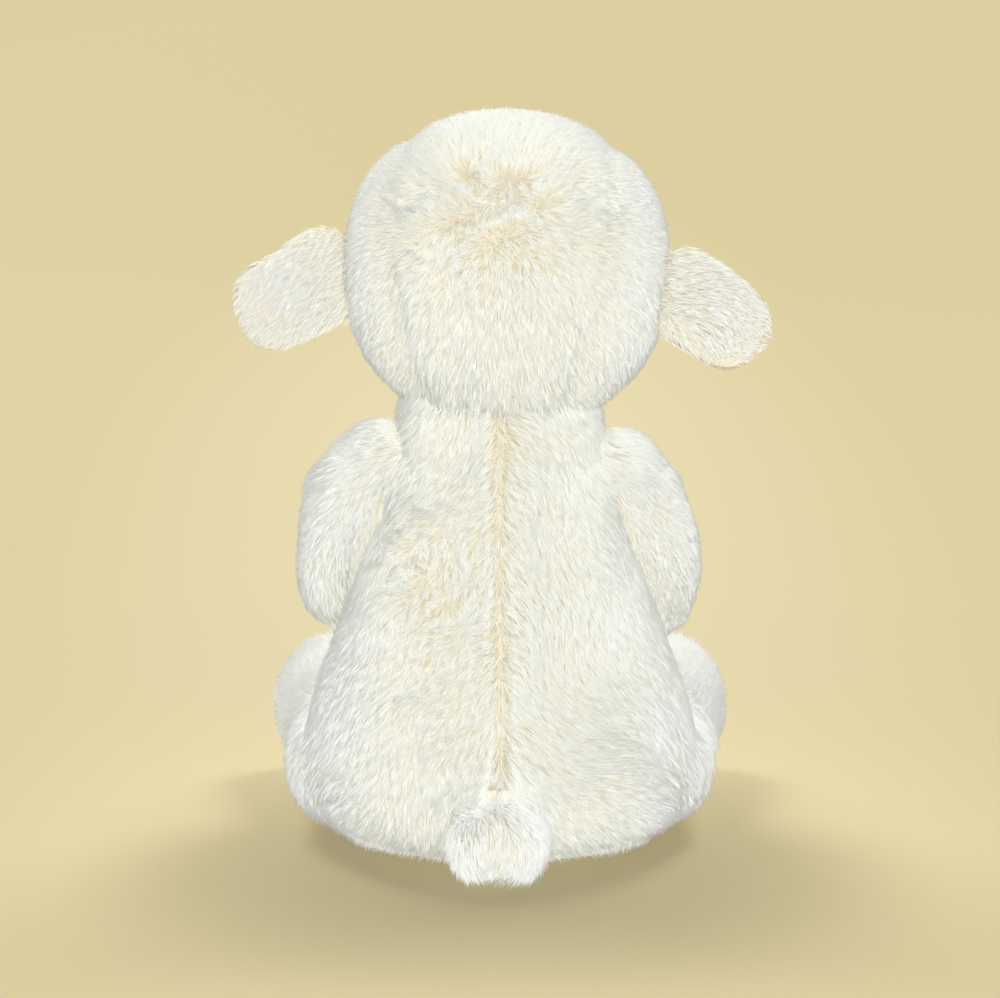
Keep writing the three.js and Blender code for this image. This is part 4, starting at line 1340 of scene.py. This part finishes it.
def ear_axes(side):
    """The ear's root, and the ways along it, up across it and round its hinge, in the head."""
    slope, sweep = math.radians(EAR_SLOPE), math.radians(EAR_SWEEP)
    out = np.array((side * math.cos(slope), 0, -math.sin(slope)))
    edge = np.array((side * math.sin(slope), 0, math.cos(slope)))
    hinge = -side * edge
    out = np.array(Matrix.Rotation(-sweep, 3, Vector(hinge)) @ Vector(out))
    beside = side * HEAD_SIZE[0] * rounded(EAR_DROP / HEAD_SIZE[2])
    return np.array((beside, EAR_BACK, HEAD_MIDDLE[2] - EAR_DROP)), out, edge, hinge


class LAMB_OT_ears(bpy.types.Operator):
    """Makes the ears' backs and their linings"""

    bl_idname = "lamb.ears"
    bl_label = "Ears"

    def execute(self, context):
        s = sizes()
        for side, word in LEFT_RIGHT:
            root, out, edge, hinge = ear_axes(side)
            rear = -np.cross(hinge, out)

            def form(name, grow, thin):
                ends = (EAR_HALF_WIDTH - EAR_SINK, EAR_LENGTH - EAR_SINK - EAR_HALF_WIDTH)
                points, faces, _ = swelling(
                    [root + out * way for way in ends], edge,
                    EAR_HALF_WIDTH + grow, EAR_HALF_THICKNESS + thin, EVEN_SHARES,
                    (EAR_HALF_WIDTH + grow,) * 2, power=2.5,
                )
                points = pressed(points, lambda q: off_head(q, -2.0), root, hinge, EAR_ANGLES)
                return mesh_piece(f"{name}_{word}", points, faces)

            skin = form("skin_ear", -2.0, -2.0)
            half_cut(skin, root, rear)
            p = points_of(skin)
            far, across = (p - root) @ out, (p - root) @ edge
            over = bump(far, 20) * step(across, 2, 14)
            under = step(-across, 4, 15)
            tip = step(far, 22, 44)
            # Painted shade darkens the pile by the ear's root, in the crease against the head; the
            # tan at the lower tip is the lining's own colour at the edge
            tone = 0.8 - (0.3 + 0.25 * under) * bump(far - 4, 8) - 0.4 * under * tip
            # Each ear's pile falls and its top edge rises in its own way, and the right one is worn
            fall, raised, worn = (0.35, 4.5, 0) if side > 0 else (-0.25, 2.5, 0.35)
            ways = np.tile(out, (len(p), 1)) + fall * np.array((0, 0, -1.0))
            trim = 0.3 * tip + (worn * under + 0.25 * under * tip if worn else 0)
            panels = np.where((centres_of(skin) - root) @ rear > 0.4, EAR_REAR, BARE)
            coat(
                skin, ways, panels, s.seed + 40 + side, tone, swirl=0.2,
                length=0.8 - trim, lift=0.6 - 0.15 * over - 0.5 * trim,
            )
            carry_from_head(skin, p + edge * (raised * over)[:, None])
            dress(skin, "Knitted backing", f"ear_{word}", (f"ear_back_{word}",))

            lining = form("ear_cloth", -0.9, -1.2)
            half_cut(lining, root - rear * 0.1, -rear)
            carry_from_head(lining, points_of(lining))
            dress(lining, "Brushed lining", f"ear_{word}", (f"ear_lining_{word}",))
        return {"FINISHED"}


class LAMB_OT_arms(bpy.types.Operator):
    """Makes the stuffed arms"""

    bl_idname = "lamb.arms"
    bl_label = "Arms"

    def execute(self, context):
        s = sizes()
        radius = ARM_RADIUS - s.depth / MM
        middle = torso_middle(SHOULDER_HEIGHT)
        tilt = math.radians(ARM_TILT)
        for side, word in LEFT_RIGHT:
            shoulder = np.array((side * torso_half_width(SHOULDER_HEIGHT), middle, SHOULDER_HEIGHT))
            knots = []
            for drop, forward, stand in ARM_SPINE_SHARES:
                z = SHOULDER_HEIGHT - ARM_DROP * drop
                out = torso_half_width(z) + ARM_RADIUS * stand
                knots.append((side * out, middle - ARM_FORWARD * forward, z))
            outwards = np.array((side * math.cos(tilt), 0, math.sin(tilt)))
            points, faces, run = swelling(
                knots, outwards, radius, radius, ARM_SWELL_SHARES, (radius, radius)
            )
            skin = mesh_piece(f"skin_arm_{word}", points, faces)
            seam = (np.array(knots[1]) + knots[2]) / 2
            stuffed(skin, bump((points - seam) @ outwards, 5))
            points, hinge = points_of(skin), -side * outwards
            points = pressed(points, lambda q: off_torso(q, 1.0), shoulder, hinge, ARM_ANGLES)
            place_points(skin, points)
            p = dent(skin, (points_of(skin) - seam) @ outwards, LIMB_DENT)

            x, y, level = p.T
            out, z = (p - shoulder) @ outwards, level - SHOULDER_HEIGHT
            gap = np.hypot(
                x / torso_half_width(level), (y - torso_middle(level)) / torso_half_depth(level)
            )
            near = bump(gap - 1, 0.1)  # to the body
            # Painted shade: the pile is darker where the arm lies against the body, below the
            # shoulder's top
            tone = 0.86 - 0.42 * near * (1 - step(z, -24, -6))
            top = step(z, -16, 6)
            end = step(-z, ARM_DROP - 4, ARM_DROP + 10)
            # The lamb's left shoulder is fuller than its right one
            corner = step(out, 4, 16) * step(z, -24, 0)
            left, right = 0.25 * corner - 0.2 * top - 0.6 * end, -0.45 * corner - 0.2 - 0.15 * top
            full = left if side > 0 else right
            full += 0.7 * bump(z - 4, 9) * step(out, 10, 20)
            ways = run + np.array((0, 0, -0.25)) + (0.5 * top)[:, None] * outwards
            panels = np.where((centres_of(skin) - seam) @ outwards > 0, OUTER, INNER)
            coat(
                skin, ways, panels, s.seed + 60 + side, tone,
                length=0.9 - 0.3 * near + 0.3 * full, lift=0.88 - 0.5 * near + full,
            )
            dress(
                skin, "Knitted backing", f"arm_{word}",
                (f"arm_outer_{word}", f"arm_inner_{word}", f"arm_filling_{word}"),
            )
        return {"FINISHED"}


class LAMB_OT_legs(bpy.types.Operator):
    """Makes the stuffed legs and their soles"""

    bl_idname = "lamb.legs"
    bl_label = "Legs and soles"

    def execute(self, context):
        s = sizes()
        splay = math.radians(LEG_SPLAY)
        for side, word in LEFT_RIGHT:
            hip = HAUNCH * (side, 1, 1)
            ahead = np.array((side * math.sin(splay), -math.cos(splay), 0))
            outwards = np.array((side * math.cos(splay), math.sin(splay), 0))

            def form(name, grow):
                knots = []
                for share, swell in LEG_SWELL_SHARES:
                    knots.append(hip + ahead * LEG_REACH * max(share, LEG_ROOT))
                    knots[-1][2] = LEG_HALF_HEIGHT * swell - SEAT_DENT
                points, faces, run = swelling(
                    knots, outwards, LEG_HALF_WIDTH + grow, LEG_HALF_HEIGHT + grow,
                    LEG_SWELL_SHARES, (LEG_ROOT_CAP, FOOT_CAP + grow), power=FOOT_POWER,
                )
                points = off_ball(points, hip, HAUNCH_RADIUS + 0.6)
                points = pressed(points, lambda q: off_torso(q, 1.0), hip, ACROSS, LEG_ANGLES)
                return mesh_piece(f"{name}_{word}", on_floor(points, LIMB_CLEAR), faces), run

            skin, run = form("skin_leg", -s.depth / MM)
            p = dent(skin, (points_of(skin) - hip) @ outwards, LIMB_DENT, LIMB_CLEAR)
            end = hip + ahead * (LEG_REACH + FOOT_CAP - SOLE_DEPTH)
            centres = centres_of(skin)
            panels = np.where((centres - hip) @ outwards > 0, OUTER, INNER)
            panels[(centres - end) @ ahead > 1] = BARE
            flat = step(-normals_of(skin)[:, 2], 0.55, 0.9)
            rim = bump((p - end) @ ahead, 7)
            at_haunch = bump(np.linalg.norm(p - hip, axis=1) - HAUNCH_RADIUS, 2) * 0.6
            coat(
                skin, run + 0.2 * np.array((0, 0, -1.0)), panels, s.seed + 80 + side, 0.8,
                thick=np.clip(1 - flat - at_haunch, 0.3, 1),
                length=0.95 - 0.4 * flat - 0.45 * rim, lift=1 - 0.85 * flat - 0.2 * rim,
            )
            dress(
                skin, "Knitted backing", f"leg_{word}",
                (f"leg_outer_{word}", f"leg_inner_{word}", f"leg_filling_{word}"),
            )

            sole, _ = form("sole_cloth", -0.2)
            half_cut(sole, end - ahead, ahead)
            dress(sole, "Brushed lining", f"leg_{word}", (f"sole_{word}",))
        return {"FINISHED"}


class LAMB_OT_tail(bpy.types.Operator):
    """Makes the stuffed tail"""

    bl_idname = "lamb.tail"
    bl_label = "Tail"

    def execute(self, context):
        s = sizes()
        height, high = TAIL_RADIUS - SEAT_DENT, 2 * TAIL_RADIUS
        back = torso_middle(height) + torso_half_depth(height)
        knots = [(0, back - TAIL_SINK, height), (0, back + TAIL_OUT, height)]
        radius = TAIL_RADIUS - s.depth / MM
        stub = swelling(knots, ACROSS, radius, radius, TAIL_SWELL_SHARES, (radius, radius))
        root = ball(np.array((0, back - 8, height + 8)), (17, 10, 15))
        skin = fused("skin_tail", [stub[:2], root], voxel=1.6, softening=4)
        stuffed(skin, bump(points_of(skin)[:, 0], 4))
        hinge = np.array((0, torso_middle(high) + torso_half_depth(high), high))
        points = pressed(points_of(skin), lambda q: off_torso(q, -1.5), hinge, ACROSS, TAIL_ANGLES)
        place_points(skin, on_floor(points, LIMB_CLEAR))
        dent(skin, points_of(skin)[:, 0], TAIL_DENT, LIMB_CLEAR)
        p, n, x, _, z = surface_of(skin)
        ways = np.stack([np.sign(x) * 0.1, np.full(len(p), 0.7), np.full(len(p), -0.8)], 1)
        flat = step(-n[:, 2], 0.6, 0.9)
        flank = step(np.abs(x), 6, 13) * np.where(x > 0, 1, 0.3)
        tone = 0.84 - 0.45 * (bump(x, 2) * step(-z, -24, -4))
        panels = np.where(centres_of(skin)[:, 0] > 0, TAIL_LEFT, TAIL_RIGHT)
        coat(
            skin, ways, panels, s.seed + 99, tone, thick=1 + 0.5 * step(n[:, 2], 0.3, 0.8),
            length=0.9 - 0.4 * flat, lift=0.9 + 0.6 * flank - 0.7 * flat,
        )
        dress(
            skin, "Knitted backing", "tail",
            ("tail_half_left", "tail_half_right", "tail_filling"),
        )
        return {"FINISHED"}


# Skin, panel, piece, body, node that it covers
COATS = [
    ("skin_body", BACK_LEFT, "pile_back_left", "torso", "back_panel_left"),
    ("skin_body", BACK_RIGHT, "pile_back_right", "torso", "back_panel_right"),
    ("skin_body", BELLY, "pile_belly", "torso", "belly_panel"),
    ("skin_body", SEAT, "pile_seat", "torso", "seat_panel"),
    ("skin_head", GUSSET, "pile_gusset", "head", "head_gusset"),
    ("skin_head", CHEEK_LEFT, "pile_cheek_left", "head", "head_side_left"),
    ("skin_head", CHEEK_RIGHT, "pile_cheek_right", "head", "head_side_right"),
    ("skin_tail", TAIL_LEFT, "pile_tail_left", "tail", "tail_half_left"),
    ("skin_tail", TAIL_RIGHT, "pile_tail_right", "tail", "tail_half_right"),
]
for _, word in LEFT_RIGHT:
    names = (f"pile_ear_{word}", f"ear_{word}", f"ear_back_{word}")
    COATS.append((f"skin_ear_{word}", EAR_REAR, *names))
    for limb in ("arm", "leg"):
        for panel, face in ((OUTER, "outer"), (INNER, "inner")):
            name = f"{limb}_{face}_{word}"
            COATS.append((f"skin_{limb}_{word}", panel, f"pile_{name}", f"{limb}_{word}", name))


class LAMB_OT_pile(bpy.types.Operator):
    """Grows the long pile on every panel"""

    bl_idname = "lamb.pile"
    bl_label = "Pile"

    def execute(self, context):
        s = sizes()
        tree = pile_tree()
        values = {
            "Strands": s.strands, "Tufts": s.tufts, "Half width": s.strand, "Reach": s.reach,
            "Lift": s.lift, "Pull": s.pull, "Stray": s.stray, "Material": finish_of("Wool pile"),
        }
        for k, (skin, panel, name, body, node) in enumerate(COATS):
            own = {"Panel": panel, "Seed": s.seed + 31 * k}
            piece = made_by(tree, name, bpy.data.objects[skin], values | own)
            dress(piece, None, body, (node,))
        return {"FINISHED"}


def brow_point(x, rise):
    share = rounded(rise / HEAD_SIZE[2])
    a, b = HEAD_SIZE[0] * share, HEAD_SIZE[1] * share
    return np.array((x, HEAD_MIDDLE[1] - b * math.sqrt(1 - (x / a) ** 2), HEAD_MIDDLE[2] + rise))


def brow_way(x, rise, small=0.6):
    """The way that points straight out of the brow."""
    across = brow_point(x + small, rise) - brow_point(x - small, rise)
    up = brow_point(x, rise + small) - brow_point(x, rise - small)
    way = np.cross(across, up)
    return way / np.linalg.norm(way)


def turned(profile, centre, way, sides=64):
    """The rings of a turned shape, from radii and heights along way, in the lamb's frame."""
    u = np.cross(way, UP)
    u /= np.linalg.norm(u)
    v = np.cross(way, u)
    return np.array([from_head(ring(centre + way * h, u, v, r, r, sides)) for r, h in profile])


class LAMB_OT_eyes(bpy.types.Operator):
    """Makes the moulded eyes and the washers that lock them"""

    bl_idname = "lamb.eyes"
    bl_label = "Eyes and washers"

    def execute(self, context):
        # Radii and heights along the eye's own axis
        shank = [(1.4, -10.5), (1.8, -10.1), (1.8, 0.3), (5.2, 0.3), (EYE_RADIUS, 0.6)]
        angles = np.linspace(0, math.pi / 2, 18)
        dome = [(EYE_RADIUS * math.cos(a), 1.1 + EYE_DOME * math.sin(a)) for a in angles]
        top, bottom = -5.8, -7.4
        washer = [
            (2.1, bottom), (6.2, bottom), (6.5, bottom + 0.3), (6.5, top - 0.3), (6.2, top),
            (3.4, top), (3.0, top + 0.25), (2.1, top + 0.25),
        ]
        for side, word in LEFT_RIGHT:
            centre = brow_point(side * EYE_SPREAD, EYE_RISE)
            way = brow_way(side * EYE_SPREAD, EYE_RISE)
            ends = from_head(np.array([centre + way * shank[0][1], centre + way * dome[-1][1]]))
            points, faces = loft(turned(shank + dome[:-1], centre, way), *ends)
            eye = mesh_piece(f"moulded_eye_{word}", points, faces)
            dress(eye, "Moulded eye", "head", (f"eye_{word}",))

            rings = turned(washer, centre, way)
            count, sides = rings.shape[:2]
            faces = []
            for k in range(count):
                low, high = k * sides, (k + 1) % count * sides
                for j in range(sides):
                    after = (j + 1) % sides
                    faces.append((low + j, low + after, high + after, high + j))
            disc = mesh_piece(f"moulded_washer_{word}", rings.reshape(-1, 3), faces)
            dress(disc, "Moulded washer", "head", (f"eye_washer_{word}",))
        return {"FINISHED"}


def on_muzzle(x, z, rise):
    """A point over the muzzle's front in the head's frame, rise off its surface."""
    size = MUZZLE_SIZE + rise
    share = (x / size[0]) ** 2 + ((z - MUZZLE_MIDDLE[2]) / size[2]) ** 2
    return np.array((x, MUZZLE_MIDDLE[1] - size[1] * math.sqrt(1 - share), z))


def stitch(start, end, height, steps=9):
    """One thread between two places, which arches off the muzzle and dips in at both ends."""
    line = []
    for share in np.linspace(0, 1, steps):
        x, z = np.array(start) * (1 - share) + np.array(end) * share
        arch = height * (1 - abs(2 * share - 1) ** 5)
        line.append(on_muzzle(x, z, arch - STITCH_DIP))
    return line


def nose_stitches():
    """Upright satin stitches that fill the nose's outline."""
    top = MUZZLE_MIDDLE[2] + NOSE_RISE
    tip = top - NOSE_HEIGHT
    out, low = np.array(NOSE_SHARES).T
    lines = []
    for x in np.arange(-NOSE_HALF_WIDTH + 0.3, NOSE_HALF_WIDTH, STITCH_PITCH):
        share = abs(x) / NOSE_HALF_WIDTH
        bottom = tip + NOSE_HEIGHT * np.interp(share, out[:3], low[:3])
        upper = top - NOSE_HEIGHT * (1 - low[2]) * max(0, (share - out[3]) / (1 - out[3]))
        lines.append(stitch((x, bottom - 0.3), (x, upper + 0.3), 0.8))
    return lines


def mouth_stitches():
    """Short slanted stitches across the mouth's line, from the nose down and then out and up."""
    top = MUZZLE_MIDDLE[2] + NOSE_RISE - NOSE_HEIGHT - 0.2
    knee = top - MOUTH_DROP
    paths = [[(0, top), (0, knee)]]
    sag = np.array((0, -MOUTH_CURL * 0.35))
    shares = np.linspace(0, 1, 9)
    for side, _ in LEFT_RIGHT:
        start, end = np.array([(0, knee), (side * MOUTH_HALF_WIDTH, knee + MOUTH_CURL)])
        paths.append([start * (1 - t) + end * t + sag * 4 * t * (1 - t) for t in shares])
    lines = []
    for path in paths:
        path = np.array(path, float)
        run = run_of(path)
        for at in np.arange(0.3, run[-1], STITCH_PITCH):
            spot = np.array([np.interp(at, run, axis) for axis in path.T])
            ahead = np.array([np.interp(at + 0.1, run, axis) for axis in path.T]) - spot
            ahead /= np.linalg.norm(ahead)
            across = (np.array((-ahead[1], ahead[0])) + 0.5 * ahead) * MOUTH_LINE * 0.5
            lines.append(stitch(spot - across, spot + across, 0.75, 7))
    return lines


class LAMB_OT_stitches(bpy.types.Operator):
    """Sews the nose and the mouth in satin stitch"""

    bl_idname = "lamb.stitches"
    bl_label = "Nose and mouth"

    def execute(self, context):
        s = sizes()
        tree = stitch_tree()
        values = {"Half width": s.thread, "Seed": s.seed, "Material": finish_of("Satin thread")}
        for word, lines in (("nose", nose_stitches()), ("mouth", mouth_stitches())):
            points, edges = [], []
            for line in lines:
                edges += [(len(points) + k, len(points) + k + 1) for k in range(len(line) - 1)]
                points += line
            mesh = bpy.data.meshes.new("lines")
            mesh.from_pydata((from_head(np.array(points)) * MM).tolist(), edges, [])
            base = link("lines", mesh)
            piece = made_by(tree, f"satin_{word}", base, values)
            turn_outwards(piece.data)
            dress(piece, None, "head", (f"{word}_stitching",))
            bpy.data.objects.remove(base)
            bpy.data.meshes.remove(mesh)
        return {"FINISHED"}


class LAMB_OT_bag(bpy.types.Operator):
    """Makes the pellet bag that lies in the seat"""

    bl_idname = "lamb.bag"
    bl_label = "Pellet bag"

    def execute(self, context):
        points, faces = ball(np.zeros(3), 1.0, 64)
        lumps = rows_of_noise(points * 40, 14, 5)[:, 0] * 0.02
        x, y, z = (points * (1 + lumps)[:, None]).T
        # The bag's seam is gathered round its rim, and it is flat below
        rim = 1 - 0.05 * bump(z, 0.12) * np.cos(np.arctan2(y, x) * BAG_GATHERS)
        z = np.where(z > 0, z * BAG_ABOVE, z * BAG_BELOW) + BAG_MIDDLE
        x, y = x * BAG_HALF_WIDTH * rim, y * BAG_HALF_DEPTH * rim - BELLY_FORWARD
        bag = mesh_piece("bag_of_pellets", np.stack([x, y, z], 1), faces)
        dress(bag, "Pellet bag cloth", "torso", ("pellet_bag",))
        return {"FINISHED"}


class LAMB_PT_parts(bpy.types.Panel):
    """Lists the lamb's parts"""

    bl_label = "Plush lamb"
    bl_idname = "LAMB_PT_parts"
    bl_space_type = "VIEW_3D"
    bl_region_type = "UI"
    bl_category = "Lamb"

    def draw(self, context):
        for part in PARTS:
            self.layout.operator(part.bl_idname)
        for settings in (sizes(), colours()):
            box = self.layout.box()
            for name in settings.__annotations__:
                box.prop(settings, name)


PARTS = (
    LAMB_OT_stage, LAMB_OT_body, LAMB_OT_head, LAMB_OT_ears, LAMB_OT_arms, LAMB_OT_legs,
    LAMB_OT_tail, LAMB_OT_pile, LAMB_OT_eyes, LAMB_OT_stitches, LAMB_OT_bag,
)
CLASSES = (LambSizes, LambColours, *PARTS, LAMB_PT_parts)


def register():
    for one in CLASSES:
        bpy.utils.register_class(one)
    bpy.types.Scene.lamb_sizes = PointerProperty(type=LambSizes)
    bpy.types.Scene.lamb_colours = PointerProperty(type=LambColours)


def unregister():
    del bpy.types.Scene.lamb_sizes, bpy.types.Scene.lamb_colours
    for one in reversed(CLASSES):
        bpy.utils.unregister_class(one)


def main():
    register()
    bpy.context.scene.view_settings.view_transform = "Standard"
    for part in PARTS:
        getattr(bpy.ops.lamb, part.bl_idname.removeprefix("lamb."))()


if __name__ == "__main__":
    main()
